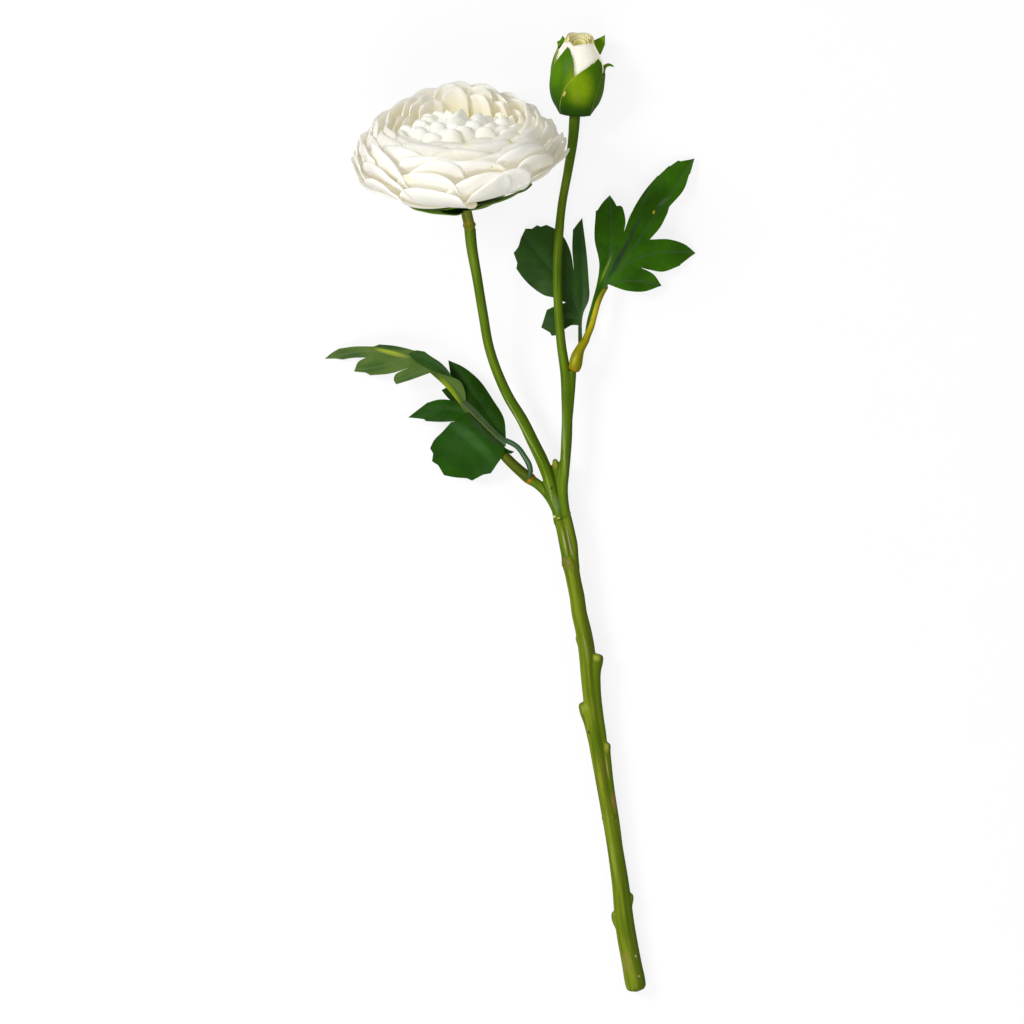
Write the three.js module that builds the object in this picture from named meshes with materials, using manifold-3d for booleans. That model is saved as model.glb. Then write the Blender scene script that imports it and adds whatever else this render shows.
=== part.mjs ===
// A cut ranunculus stem lying on a table: an open white bloom, a closed bud and two sprays of lobed leaves.
// Millimetres, +Z up, the table at z = 0. +Y runs from the cut end to the bud, and the flower is looked down on.
// The origin is on the table, under the middle of the flower's length and width.
import * as THREE from "three";
import { mergeVertices } from "three/addons/utils/BufferGeometryUtils.js";
import { TessellateModifier } from "three/addons/modifiers/TessellateModifier.js";
import Module from "manifold-3d";

const wasm = await Module();
wasm.setup();

// Driving dimensions
const BLOOM_RADIUS = 45;
const BLOOM_HEIGHT = 46; // from the receptacle to the innermost petals' tips
const BLOOM_TILT = 22; // degrees that the bloom's face is raised over the table's plane
const BLOOM_LEAN = 3.2; // degrees that the bloom leans to the left
const BLOOM_BASE = [-19.7, 126.6, 31.4];
const BUD_RADIUS = 11.2;
const BUD_LENGTH = 34;
const BUD_TILT = 8;
const BUD_LEAN = -3.5;
const BUD_BASE = [27.4, 167.2, 9.9];
const STEM_RADIUS = 4.1; // at the cut end
const STEM_START = -201.2; // Y of the cut end
const STEM_LIFT = 5.4 / 180; // how fast the lower stem rises from the table
const BLADE = 0.8; // thickness of leaves, petals and sepals
const GAP = 0.3; // between neighbouring pieces
const SLIVER = 0.02; // edges that leave the shape this close without them are dropped
const CORNER = 1; // marks an outline's sharp points

// Colours, from the photograph
const PETAL_WHITE = 0xf1eee2;
const BUD_CREAM = 0xefecd2;
const STEM_GREEN = 0x637d1e;
const SEPAL_GREEN = 0x568a06;
const LEAF_GREEN = 0x2d5220;
const SOCKET_YELLOW = 0xa89f18;
const STALK_OLIVE = 0x5d6f08;

const radians = THREE.MathUtils.degToRad;
const lerp = THREE.MathUtils.lerp;

// Solids

/** A closed three.js geometry as a solid. */
function solid(geometry) {
  const bare = geometry.clone();
  for (const name of Object.keys(bare.attributes)) if (name !== "position") bare.deleteAttribute(name);
  const merged = mergeVertices(bare, 1e-3);
  const vertProperties = new Float32Array(merged.attributes.position.array);
  const triVerts = new Uint32Array(merged.index.array);
  return new wasm.Manifold(new wasm.Mesh({ numProp: 3, vertProperties, triVerts }));
}

/** Several solids joined into one. */
function joined(solids) {
  return solids.reduce((whole, next) => whole.add(next));
}

/** The largest body of a solid, without the scraps and slivers that a cut leaves. */
function largest(body) {
  const bodies = body.simplify(SLIVER).decompose();
  return bodies.reduce((best, next) => (next.volume() > best.volume() ? next : best));
}

/** A solid as a named mesh. */
function piece(name, body, color, roughness) {
  const mesh = body.getMesh();
  const geometry = new THREE.BufferGeometry();
  geometry.setAttribute("position", new THREE.BufferAttribute(new Float32Array(mesh.vertProperties), 3));
  geometry.setIndex(new THREE.BufferAttribute(new Uint32Array(mesh.triVerts), 1));
  geometry.computeVertexNormals();
  const made = new THREE.Mesh(geometry, new THREE.MeshStandardMaterial({ color, roughness, metalness: 0 }));
  made.name = name;
  return made;
}

/** The half space under the table, as seen in a turned group's own frame. */
function underTable(group) {
  const size = 500;
  const box = new THREE.BoxGeometry(size, size, size).translate(0, 0, -size / 2);
  group.updateMatrix();
  return solid(box.applyMatrix4(group.matrix.clone().invert()));
}

/** The half space beyond a flat seam across a stem, which runs through [x, y] at heading degrees. */
function beyond([x, y], heading, shift) {
  const size = 500;
  const box = new THREE.BoxGeometry(size, size, size).translate(size / 2 + shift, 0, 0);
  return solid(box.rotateZ(radians(heading)).translate(x, y, 0));
}

/** A closed stalk along points [x, y, z, radius]. ridges(angle) scales its section. */
function stalk(points, sides, steps, extra = 0, ridges = () => 1) {
  const path = new THREE.CatmullRomCurve3(points.map(([x, y, z]) => new THREE.Vector3(x, y, z)));
  const frames = path.computeFrenetFrames(steps);
  const body = new THREE.CylinderGeometry(1, 1, 1, sides, steps);
  const place = body.attributes.position;
  for (let i = 0; i < place.count; i++) {
    const step = Math.round((place.getY(i) + 0.5) * steps);
    const reach = path.getUtoTmapping(step / steps) * (points.length - 1);
    const before = Math.min(Math.floor(reach), points.length - 2);
    const radius = lerp(points[before][3], points[before + 1][3], reach - before) + extra;
    const across = place.getX(i) * ridges(Math.atan2(place.getZ(i), place.getX(i)));
    const up = place.getZ(i) * ridges(Math.atan2(place.getZ(i), place.getX(i)));
    const at = path.getPointAt(step / steps);
    at.addScaledVector(frames.normals[step], across * radius);
    at.addScaledVector(frames.binormals[step], -up * radius);
    place.setXYZ(i, at.x, at.y, at.z);
  }
  return solid(body);
}

/** A thin closed sheet. at(u, v) is its middle surface: u runs across from -1 to 1, and v along from 0 to 1. */
function sheet(across, along, at, thickness) {
  const plane = new THREE.PlaneGeometry(2, 1, across, along).translate(0, 0.5, 0);
  const grid = plane.attributes.position;
  const faces = Array.from(plane.index.array);
  const small = 1e-3;
  const upper = [];
  const lower = [];
  for (let i = 0; i < grid.count; i++) {
    const [u, v] = [grid.getX(i), grid.getY(i)];
    const middle = at(u, v);
    const sideways = at(u + small, v).sub(at(u - small, v));
    const forwards = at(u, v + small).sub(at(u, v - small));
    const normal = sideways.cross(forwards).normalize();
    upper.push(...middle.clone().addScaledVector(normal, thickness / 2).toArray());
    lower.push(...middle.clone().addScaledVector(normal, -thickness / 2).toArray());
  }
  const row = across + 1;
  const rim = [];
  for (let i = 0; i < across; i++) rim.push(along * row + i);
  for (let i = along; i > 0; i--) rim.push(i * row + across);
  for (let i = across; i > 0; i--) rim.push(i);
  for (let i = 0; i < along; i++) rim.push(i * row);
  const triangles = [...faces];
  for (let i = 0; i < faces.length; i += 3) {
    triangles.push(faces[i] + grid.count, faces[i + 2] + grid.count, faces[i + 1] + grid.count);
  }
  rim.forEach((from, i) => {
    const to = rim[(i + 1) % rim.length];
    triangles.push(from, from + grid.count, to + grid.count, from, to + grid.count, to);
  });
  const closed = new THREE.BufferGeometry();
  closed.setAttribute("position", new THREE.Float32BufferAttribute([...upper, ...lower], 3));
  closed.setIndex(triangles);
  return solid(closed);
}

// Stems

/** Height of the lower stem's middle over the table. */
function stemHeight(y) {
  return STEM_RADIUS + (y - STEM_START) * STEM_LIFT;
}

/** Points [x, y, radius] of the lower stem or of a nub on it, raised to the stem's height. */
function onStem(points, lift = 0) {
  return points.map(([x, y, radius]) => [x, y, stemHeight(y) + lift, radius]);
}

const LOWER_STEM = [
  [53.1, -201.2, 2.9], [52.8, -199.6, 3.8], [51.2, -190, 4.1], [48.7, -174.9, 4.1], [46.4, -154.8, 3.6],
  [44.1, -139.7, 3.35], [41.2, -124.5, 3.4], [38.2, -104.4, 3.7], [35.9, -89.2, 3.8], [34, -74.1, 4],
  [32.3, -61.5, 3.9], [30.7, -48.9, 3.4], [28.8, -38.9, 3.15], [26.7, -28.8, 3.1], [26.1, -24.4, 3.5],
  [25.7, -22.2, 4.1], [25.3, -19.8, 4],
];
// Cut-off leaf bases on the stem, each from its foot up to its rounded knob
const NUBS = [
  [[34, -87.6, 1.6], [35.5, -78.3, 1.8], [36.3, -69.9, 2], [37, -63.2, 2.4], [37.2, -60.3, 2.1], [37.2, -58.6, 0.8]],
  [[34.4, -91.8, 1.4], [32.3, -87.6, 2], [31.1, -83.4, 2.3], [30.9, -80.8, 1.8], [30.9, -79.6, 0.8]],
  [[38.6, -107.7, 1.5], [39.9, -102.3, 2], [40.6, -98.9, 2.1], [40.6, -96.8, 1.6], [40.5, -95.8, 0.7]],
  [[47.9, -177.8, 1.4], [45.8, -173.4, 1.9], [44.7, -170.4, 2], [44.5, -168.2, 1.5], [44.5, -167.2, 0.6]],
  [[49.6, -168.6, 1], [50.4, -164.4, 1.3], [50.8, -161.5, 1.3], [50.8, -159.6, 0.6]],
  [[31.1, -59.4, 1.2], [29.4, -56.5, 1.3], [28.4, -53.5, 1.3], [28.5, -51.2, 0.6]],
];
const STEM_RING = [[40.8, -129, 3.3], [40.6, -127.8, 3.75], [40.3, -126.6, 3.3]];

// Flat seams between the mouldings: a point on the stem's line and the stem's heading there
const FOOT_SEAM = [[25.4, -20.6], 101];
const FORK_SEAM = [[21.5, -0.7], 97];
const TWIG_SEAM = [[11.1, 13], 139];
// The sleeve's two strands, side by side
const SLEEVE_STRANDS = [
  [[24.6, -21.6, 9.6, 2.8], [22.5, -13.7, 9.8, 2.4], [21, -7, 10, 2.2], [19.7, 0.4, 10.1, 2.5]],
  [[26.6, -21.6, 9.6, 2.6], [25.2, -13.7, 9.8, 2.3], [24.1, -7, 10, 2.1], [23, 0.4, 10.1, 2.5]],
];
const BLOOM_BRANCH = [
  [20, -2, 10.1, 2.4], [17.6, 9, 10.4, 2.6], [15.3, 17.4, 10.7, 2.6], [13, 23.7, 11, 2.5], [10.5, 28.8, 11.2, 2.45],
  [4.6, 38.9, 11.7, 2.4], [-1.3, 48.9, 12.4, 2.2], [-5.7, 59, 13.5, 2.1], [-9, 69.1, 15, 2.05], [-11.5, 84.2, 18, 2],
  [-14.1, 99.3, 21.6, 2], [-17.1, 112.7, 25.6, 2.05], [-17.6, 120, 28.55, 2.1],
];
const BUD_BRANCH = [
  [23, -2, 10.1, 2.4], [23, 9.9, 10.4, 2.4], [23.3, 20.4, 10.6, 2.4], [23.7, 30.9, 10.8, 2.35], [23.9, 47.7, 11, 2.35],
  [23.3, 58.9, 11.1, 2.2], [21.6, 70.8, 11.1, 2], [20.4, 85.5, 10.8, 1.95], [19.9, 100.2, 10, 1.95], [20.4, 114.9, 9, 1.95],
  [21.8, 129.6, 8.3, 1.8], [24.4, 144.3, 8.2, 1.9], [26.7, 156.9, 9, 2], [27.4, 166.9, 9.9, 2.1],
];
const LEAF_TWIG = [[18.8, 2, 10.2, 2], [15.5, 7.8, 10.3, 2.2], [13, 11.1, 10.4, 2.25], [10.2, 13.7, 10.4, 2.2]];
const CUT_STUB = [[19.7, 9.1, 11, 1.6], [19.1, 16.2, 11.2, 1.5], [18.7, 20.5, 11.3, 1.45], [18.6, 22.4, 11.3, 0.9]];

const ridged = (angle) => 1 + 0.05 * Math.cos(2 * angle + 0.6) + 0.03 * Math.cos(5 * angle);

function lowerStem() {
  const nubs = NUBS.map((points) => stalk(onStem(points, 0.4), 7, 5));
  const ring = stalk(onStem(STEM_RING), 12, 2);
  const stem = stalk(onStem(LOWER_STEM), 12, 30, 0, ridged);
  const whole = joined([stem, ring, ...nubs]).subtract(beyond(...FOOT_SEAM, -GAP / 2));
  return largest(whole.subtract(underTable(new THREE.Group())));
}

function stemSleeve() {
  const strands = joined(SLEEVE_STRANDS.map((points) => stalk(points, 10, 4)));
  return largest(strands.intersect(beyond(...FOOT_SEAM, GAP / 2)).subtract(beyond(...FORK_SEAM, -GAP / 2)));
}

function forkedStem() {
  const twig = stalk(LEAF_TWIG, 8, 3);
  const stub = stalk(CUT_STUB, 7, 4);
  const whole = joined([stalk(BLOOM_BRANCH, 9, 22), stalk(BUD_BRANCH, 9, 24), stub]);
  const branches = whole.add(twig.subtract(beyond(...TWIG_SEAM, -GAP / 2)));
  return largest(branches.intersect(beyond(...FORK_SEAM, GAP / 2)));
}

// Bloom. Its own frame has z along the flower's axis, x to the right and -y towards the viewer.

// Each ring of petals from the outside in: how many, then their tips' radius and height as shares of the bloom's,
// the tips' outward lean in degrees, the petals' half width, and the turn of the first petal in degrees
const BLOOM_RINGS = [
  [7, 1.007, 0.49, 42, 19, 12],
  [7, 1, 0.6, 24, 18.5, 38],
  [8, 0.967, 0.707, 10, 17, 14],
  [8, 0.916, 0.805, 0, 15.5, 33],
  [8, 0.833, 0.892, -6, 14, 8],
  [8, 0.722, 0.957, -8, 12, 25],
  [7, 0.589, 0.992, -8, 11, 5],
  [6, 0.444, 1, -6, 9.5, 22],
];
const PETAL_OVERLAP = 1.4; // how far one edge of a petal stands out over its neighbour
const FACE_LEAN = 0.1; // how much the tips rise towards the back at the bloom's full height
const HEART_PETALS = 13;
const HEART_MIDDLE = -5; // y of the heart's middle: it sits towards the viewer
const HEART_FLOOR = 30;
const HEART_TOP = 43.5;
const HEART_SPACING = 3.1; // between the heart's petals, which stand in a spiral
const GOLDEN_ANGLE = 137.5; // degrees from one petal of the spiral to the next

/** A bloom petal's middle surface. v runs from 0 at the receptacle to 1 at the tip. */
function bloomPetal(ring, index) {
  const [count, radiusShare, heightShare, lean, halfWidth, turn] = BLOOM_RINGS[ring];
  const [tipRadius, tipHeight] = [radiusShare * BLOOM_RADIUS, heightShare * BLOOM_HEIGHT];
  const angle = radians((360 / count) * index + turn);
  const rootHeight = 1 + 0.9 * ring;
  const arm = 9 + 0.25 * tipHeight;
  const profile = new THREE.CubicBezierCurve(
    new THREE.Vector2(4, rootHeight),
    new THREE.Vector2(lerp(15, 24, ring / (BLOOM_RINGS.length - 1)), rootHeight + 5),
    new THREE.Vector2(tipRadius - arm * Math.sin(radians(lean)), tipHeight - arm * Math.cos(radians(lean))),
    new THREE.Vector2(tipRadius, tipHeight),
  );
  return (u, v) => {
    const along = v * (1 - 0.16 * Math.abs(u) ** 3 * v);
    const at = profile.getPoint(along);
    const width = halfWidth * Math.sin(Math.min(1, 0.25 + along) * 0.5 * Math.PI) * (1 - 0.22 * v ** 6);
    const bend = Math.max(0.8 * at.x, 7);
    const around = (u * width) / bend;
    const radius = at.x - bend * (1 - Math.cos(around)) + PETAL_OVERLAP * u;
    const side = bend * Math.sin(around);
    const x = radius * Math.cos(angle) - side * Math.sin(angle);
    const y = radius * Math.sin(angle) + side * Math.cos(angle);
    return new THREE.Vector3(x, y, at.y * (1 + FACE_LEAN * (y / BLOOM_HEIGHT)));
  };
}

/** A small upright petal of the heart. */
function heartPetal(index) {
  const spread = HEART_SPACING * Math.sqrt(index + 0.3);
  const angle = radians(GOLDEN_ANGLE * index);
  const [x0, y0] = [spread * Math.cos(angle), spread * Math.sin(angle)];
  const height = HEART_TOP - 0.3 * spread + 1.5 * Math.sin(index * 2.3);
  const halfWidth = 3.2 + 0.1 * spread;
  return (u, v) => {
    const rise = lerp(HEART_FLOOR, height, v * (1 - 0.25 * u * u));
    const side = u * halfWidth * Math.sin((0.35 + 0.55 * v) * Math.PI);
    const out = 1.6 - 1.2 * u * u + 1.5 * v * v - 1.2 * v;
    const x = x0 + out * Math.cos(angle) - side * Math.sin(angle);
    const y = HEART_MIDDLE + y0 + out * Math.sin(angle) + side * Math.cos(angle);
    return new THREE.Vector3(x, y, rise);
  };
}

/** The solid body behind the petals, from the receptacle to the floor that the heart stands on. */
function bloomCore() {
  const profile = [
    [0, 0.8], [6, 2.2], [15, 7.5], [26, 12], [34, 17], [38.5, 22], [38.5, 28],
    [35, 33], [30, 35.5], [20, 35], [10, 33.5], [0, 33.5],
  ];
  const body = new THREE.LatheGeometry(profile.map(([r, h]) => new THREE.Vector2(r, h)), 20);
  return solid(body.rotateX(Math.PI / 2));
}

const PETAL_ROOT = 0.5; // where a petal is rooted in the core, as a share of its length

function bloomPetals(group, calyx) {
  const blades = [];
  BLOOM_RINGS.forEach(([count], ring) => {
    for (let index = 0; index < count; index++) {
      const at = bloomPetal(ring, index);
      blades.push(sheet(4, ring < 2 ? 3 : 2, (u, v) => at(u, lerp(PETAL_ROOT, 1, v)), BLADE));
    }
  });
  for (let index = 0; index < HEART_PETALS; index++) blades.push(sheet(2, 2, heartPetal(index), 1));
  return largest(joined([bloomCore(), ...blades]).subtract(calyx).subtract(underTable(group)));
}

// The bloom's sepals: direction in degrees (-90 is towards the viewer) and length from the axis
const BLOOM_SEPALS = [[-30, 34], [-112, 24], [-180, 27], [105, 27], [35, 27]];
// The collar tube under the sepals and the ring at its foot: x, z and radius
const COLLAR = [[1.7, -6.6, 2.25], [1.2, -3, 2.25], [0.6, 0, 2.6]];
const COLLAR_RING = [[1.7, -6.8, 2.55], [1.5, -5.2, 2.55]];

/** The sepals with their collar tube. extra thickens them, to cut their room out of the petals. */
function bloomCalyx(extra) {
  const blades = BLOOM_SEPALS.map(([heading, length]) => {
    const angle = radians(heading);
    const at = (u, v) => {
      const out = v * (length + extra) * (1 - 0.12 * u * u);
      const side = u * (1.8 + extra + 8.5 * Math.sin(Math.PI * (0.08 + 0.84 * v)));
      const height = -1.6 + 0.2 * out + 0.0056 * out * out - 0.012 * side * side + 0.5 * u;
      const x = out * Math.cos(angle) - side * Math.sin(angle);
      const y = out * Math.sin(angle) + side * Math.cos(angle);
      return new THREE.Vector3(x, y, height);
    };
    return sheet(4, 4, at, BLADE + extra);
  });
  const tube = stalk(COLLAR.map(([x, z, radius]) => [x, 0, z, radius]), 10, 3, extra / 2);
  const ring = stalk(COLLAR_RING.map(([x, z, radius]) => [x, 0, z, radius]), 10, 1, extra / 2);
  const hub = solid(new THREE.SphereGeometry(1, 10, 4).scale(5 + extra, 5 + extra, 1.5 + extra));
  return joined([hub, tube, ring, ...blades]);
}

// Bud. Its own frame has z along the bud's axis, x to the right and -y towards the viewer.

/** Radius of the bud's outside at a height over its flat base. */
function budRadius(height) {
  const widest = 0.44 * BUD_LENGTH;
  const reach = height < widest ? 1.2 * widest : 1.14 * (BUD_LENGTH - widest);
  return BUD_RADIUS * Math.sqrt(1 - ((height - widest) / reach) ** 2);
}

// Rings of the bud's petals: how many, their tips' height and radius, and the turn of the first one in degrees
const BUD_RINGS = [
  [4, 31.4, 6.2, -80],
  [3, 33.4, 3.4, -35],
];
const BUD_WALL = 2.1; // from the bud's outside to the outside of its petals
const BUD_PETAL_ROOT = 19;

function budPetals(sepals) {
  const blades = BUD_RINGS.flatMap(([count, tipHeight, tipRadius, turn]) =>
    Array.from({ length: count }, (_, index) => {
      const angle = radians((360 / count) * index + turn);
      const at = (u, v) => {
        const height = lerp(BUD_PETAL_ROOT, tipHeight, v * (1 - 0.14 * u * u));
        const closing = ((height - BUD_PETAL_ROOT) / (tipHeight - BUD_PETAL_ROOT)) ** 2;
        const radius = lerp(BUD_RADIUS - BUD_WALL - 0.4, tipRadius, closing) + 0.5 * u;
        const around = u * 0.9;
        const x = radius * Math.cos(angle + around);
        return new THREE.Vector3(x, radius * Math.sin(angle + around), height);
      };
      return sheet(4, 2, at, BLADE);
    }),
  );
  const [floor, top] = [7.6, 31];
  const profile = [[0, floor]];
  for (let height = floor; height < top - 1; height += 5) profile.push([budRadius(height) - BUD_WALL - BLADE, height]);
  profile.push([0, top]);
  const ball = new THREE.LatheGeometry(profile.map(([r, h]) => new THREE.Vector2(r, h)), 12).rotateX(Math.PI / 2);
  return largest(joined([solid(ball), ...blades]).subtract(sepals));
}

// The bud's sepals: direction in degrees (-90 is towards the viewer), length along the bud, half width, tip's flare
const BUD_SEPALS = [
  [-138, 29.5, 7.6, -0.5],
  [-62, 23.5, 8.8, 1],
  [-6, 21, 7.6, 6],
  [152, 33.5, 6.6, 0.5],
  [55, 34, 7, 2.5],
];

function budCalyx(group, extra) {
  const blades = BUD_SEPALS.map(([heading, length, halfWidth, flare]) => {
    const angle = radians(heading);
    const at = (u, v) => {
      const height = 1.2 + (length + extra - 1.2) * v * (1 - 0.1 * u * u * v);
      const radius = budRadius(Math.min(height, BUD_LENGTH)) + flare * v ** 4 + 0.35 * u;
      const around = (u * (extra + halfWidth * Math.sin(Math.PI * (0.24 + 0.7 * v)))) / radius;
      const x = radius * Math.cos(angle + around);
      return new THREE.Vector3(x, radius * Math.sin(angle + around), height);
    };
    return sheet(4, 5, at, BLADE + extra);
  });
  const foot = new THREE.LatheGeometry(
    [[0, 0], [6.3, 0], [7.2, 1.2], [9.3, 5], [0, 7]].map(([r, h]) => new THREE.Vector2(r, h)), 12);
  const base = solid(foot.rotateX(Math.PI / 2));
  return largest(joined([base, ...blades]).subtract(underTable(group)));
}

// Leaves: flat cut sheets, bent. An outline's points have a smooth line through them, broken at each CORNER.

/** The closed blade inside an outline, bent to height(x, y). */
function blade(points, height) {
  const shape = new THREE.Shape();
  const first = new THREE.Vector2(points[0][0], points[0][1]);
  let stretch = [first];
  shape.moveTo(first.x, first.y);
  for (const [x, y, corner] of [...points.slice(1), points[0]]) {
    stretch.push(new THREE.Vector2(x, y));
    if (!corner) continue;
    const line = new THREE.SplineCurve(stretch);
    const parts = Math.max(1, Math.round(line.getLength() / 5));
    for (const at of line.getSpacedPoints(parts).slice(1)) shape.lineTo(at.x, at.y);
    stretch = [stretch.at(-1)];
  }
  const flat = new THREE.ExtrudeGeometry(shape, { depth: BLADE, bevelEnabled: false });
  const split = new TessellateModifier(10, 8).modify(flat.translate(0, 0, -BLADE / 2));
  const place = split.attributes.position;
  for (let i = 0; i < place.count; i++) {
    place.setZ(i, place.getZ(i) + height(place.getX(i), place.getY(i)));
  }
  return solid(split);
}

/** The height of a bent leaf over the table. t runs along its rib from root, and s to the rib's left. */
function bent({ root: [x0, y0, z0], heading, rise = 0, sag = 0, tilt = 0, cup = 0, stem = 0 }) {
  const [c, s] = [Math.cos(radians(heading)), Math.sin(radians(heading))];
  return (x, y) => {
    const t = (x - x0) * c + (y - y0) * s;
    const side = (y - y0) * c - (x - x0) * s;
    const length = t < 0 ? stem * t : rise * t - sag * t * t;
    return z0 + length + tilt * side - cup * side * side;
  };
}

const RIGHT_UPPER = [
  [31.1, 72.5, CORNER], [32.3, 80.4], [34.4, 88.4], [36.5, 96.4], [37.6, 104.8], [35.7, 115.1], [36.1, 127, CORNER],
  [39.1, 130.8], [42, 133.8, CORNER], [44.5, 130, CORNER], [47.5, 127.5], [48.3, 122.8], [47.5, 117.8, CORNER],
  [50.8, 126.2], [55.9, 135.9], [62.6, 142.6, CORNER], [67.2, 145.9, CORNER], [71.8, 148.5, CORNER],
  [77.7, 149.7, CORNER], [75.6, 142.6, CORNER], [73.1, 136.7], [66.8, 128.3, CORNER], [65.9, 126.2, CORNER],
  [63.4, 120.8], [58.8, 115.3, CORNER], [67.6, 115.3], [73.9, 113.2], [78.1, 109.8, CORNER], [71.8, 104.8, CORNER],
  [63.8, 101.8], [58.4, 102.7], [55, 103.5, CORNER], [60.5, 100.6], [63.8, 96, CORNER], [56.3, 93.5], [48.7, 93.9],
  [41.4, 96.4, CORNER], [37.8, 90.9], [34.9, 84.6], [33.8, 79.2], [32.9, 72.5, CORNER],
];
const RIGHT_LOWER = [
  [28.7, 71.6, CORNER], [28.7, 79.3, CORNER], [25.6, 79.2], [23.5, 77.9, CORNER], [19.2, 75, CORNER],
  [17.6, 74.8, CORNER], [16.8, 76.2, CORNER], [13.2, 78.3, CORNER], [14.3, 81.9], [15.5, 85.7, CORNER], [18.5, 87.1],
  [23.5, 88.8, CORNER], [18.5, 90.9], [14.7, 91.8], [10.1, 94.7], [5.9, 98.7], [2.7, 103.1, CORNER],
  [3.1, 105.6, CORNER], [1.6, 109.8, CORNER], [3.5, 112.3], [4.5, 115.7], [6.6, 120, CORNER], [9.2, 119.9, CORNER],
  [11.3, 121.4, CORNER], [13, 120.8, CORNER], [15.4, 121.6, CORNER], [18.8, 119.9], [22.3, 116.8], [25.2, 111.1],
  [26.9, 102.3, CORNER], [26.2, 112.3], [26.5, 119.5, CORNER], [30.4, 124.5, CORNER], [31.2, 118.2], [32.3, 109],
  [33.5, 93, CORNER], [33.2, 90.1], [30.9, 84.6], [30.3, 71.6, CORNER],
];
const LEFT_SCALLOPED = [
  [-2.1, 30.9, CORNER], [-17.2, 43.1, CORNER], [-20.6, 39.5], [-24.8, 38.4, CORNER], [-28.6, 34.2], [-31.9, 30.9],
  [-33.6, 27.5, CORNER], [-32.3, 25.4, CORNER], [-32.8, 22.1, CORNER], [-30.2, 20.4, CORNER], [-27.7, 16.2, CORNER],
  [-23.1, 15.3], [-18.1, 14.9, CORNER], [-15.5, 14.5, CORNER], [-11.3, 16.2, CORNER], [-8, 17, CORNER],
  [-6.3, 19.5, CORNER], [-2.5, 25.8],
];
const LEFT_POINTED = [
  [-42.8, 40.5, CORNER], [-36.1, 39.7, CORNER], [-35.4, 38.9, CORNER], [-29.4, 38.6], [-20.2, 38.9, CORNER],
  [-12.6, 34.2], [-7.6, 34.2, CORNER], [-11.3, 38.9], [-18.1, 44.3, CORNER], [-25.2, 47.7], [-30.2, 47.9],
  [-34.9, 46.6, CORNER], [-38.4, 43.9],
];
const LEFT_BEHIND = [
  [-26, 64.5, CORNER], [-25.2, 59.4], [-24.4, 52.7, CORNER], [-27.1, 52.9, CORNER], [-28.8, 51.9, CORNER],
  [-26, 48.5], [-23.1, 46], [-18.1, 43.5, CORNER], [-12.6, 36.4], [-7.6, 32.2], [-1.7, 31.7, CORNER], [-2.5, 39.7],
  [-7.1, 47.7], [-13, 56.1], [-21, 62.4],
];
const LEFT_TWIST = [
  [-13.1, 39.9, CORNER], [-18.1, 45.1], [-18.9, 51], [-21, 55.6], [-23.9, 57.3, CORNER], [-29, 60.8],
  [-34.3, 59.8, CORNER], [-27.3, 53.5], [-21.8, 46.8], [-17.6, 40.6, CORNER],
];
const LEFT_FAR = [
  [-78.1, 65.2, CORNER], [-73.5, 65.3, CORNER], [-70.6, 64.9, CORNER], [-66.8, 65.5], [-60.5, 65.7, CORNER],
  [-63.9, 63.8], [-65.6, 59.8, CORNER], [-60.9, 59.4, CORNER], [-58.8, 58.2, CORNER], [-51.2, 58.8],
  [-42.4, 61.3, CORNER], [-46.2, 59.8], [-48.5, 58.2], [-48.9, 56.1], [-47.9, 54.4, CORNER], [-41.2, 56.5],
  [-33.2, 59.4, CORNER], [-26, 57.6, CORNER], [-33.2, 65.5], [-39.9, 68.4], [-48.7, 70.6], [-55, 71.2, CORNER],
  [-57.5, 70.3, CORNER], [-65.9, 70.3], [-71.8, 69.5, CORNER], [-74.3, 68.2],
];
const LEFT_FOLDED = [
  [-23.9, 56.9, CORNER], [-26.5, 60.7], [-29.4, 63.6], [-33.2, 66.1], [-36.1, 68.2, CORNER], [-40.3, 68.5],
  [-42.8, 67, CORNER], [-41.2, 65.1], [-33.2, 60.3],
];
const LEFT_STRAP = [
  [-4.5, 31.6, 9.9, 0.7], [-1.7, 30.9, 10.4, 0.75], [3.8, 27.9, 12.4, 0.8], [6.7, 24.1, 13.6, 0.8],
  [8.8, 19.9, 14.1, 0.8], [9, 17.4, 14.2, 0.75], [7.8, 14.5, 13.8, 0.6],
];

// Leaf stalks [x, y, z, radius]
const RIGHT_SOCKET = [
  [26, 59.6, 11.6, 2], [27.2, 62.2, 11.7, 2.6], [28.6, 66, 11.8, 2.3], [30, 69.6, 11.6, 1.9], [31, 72, 11.3, 1.3],
  [32.8, 76, 10.6, 1.2], [35.3, 82.4, 9.4, 1.1], [38, 90.4, 8, 0.9], [40.3, 95.1, 7.2, 0.7],
];
const LEFT_STALK = [
  [11.6, 12.4, 10.4, 2.4], [8, 14.9, 10.1, 2.5], [5, 17.3, 9.4, 2.3], [2.1, 19.9, 8.7, 2.2], [-2.9, 25, 7.3, 1.9],
  [-5, 27.6, 6.9, 1.2],
];

/** A leaf's blades as one body, clear of the stalks near it and of the table. */
function leaf(blades, stalks) {
  const clear = stalks.map((points) => stalk(points, 12, 24, GAP));
  return largest(joined(blades).subtract(joined(clear)).subtract(underTable(new THREE.Group())));
}

function rightLeafUpper() {
  const height = bent({ root: [36.5, 96.4, 9.4], heading: 52, rise: 0.06, sag: 0.0024, cup: 0.012, stem: -0.14 });
  return leaf([blade(RIGHT_UPPER, height)], [RIGHT_SOCKET, BUD_BRANCH]);
}

function rightLeafLower() {
  const height = bent({ root: [30.5, 84.6, 6.6], heading: 121, rise: -0.07, cup: 0.004, stem: -0.3 });
  return leaf([blade(RIGHT_LOWER, height)], [RIGHT_SOCKET, BUD_BRANCH]);
}

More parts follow.
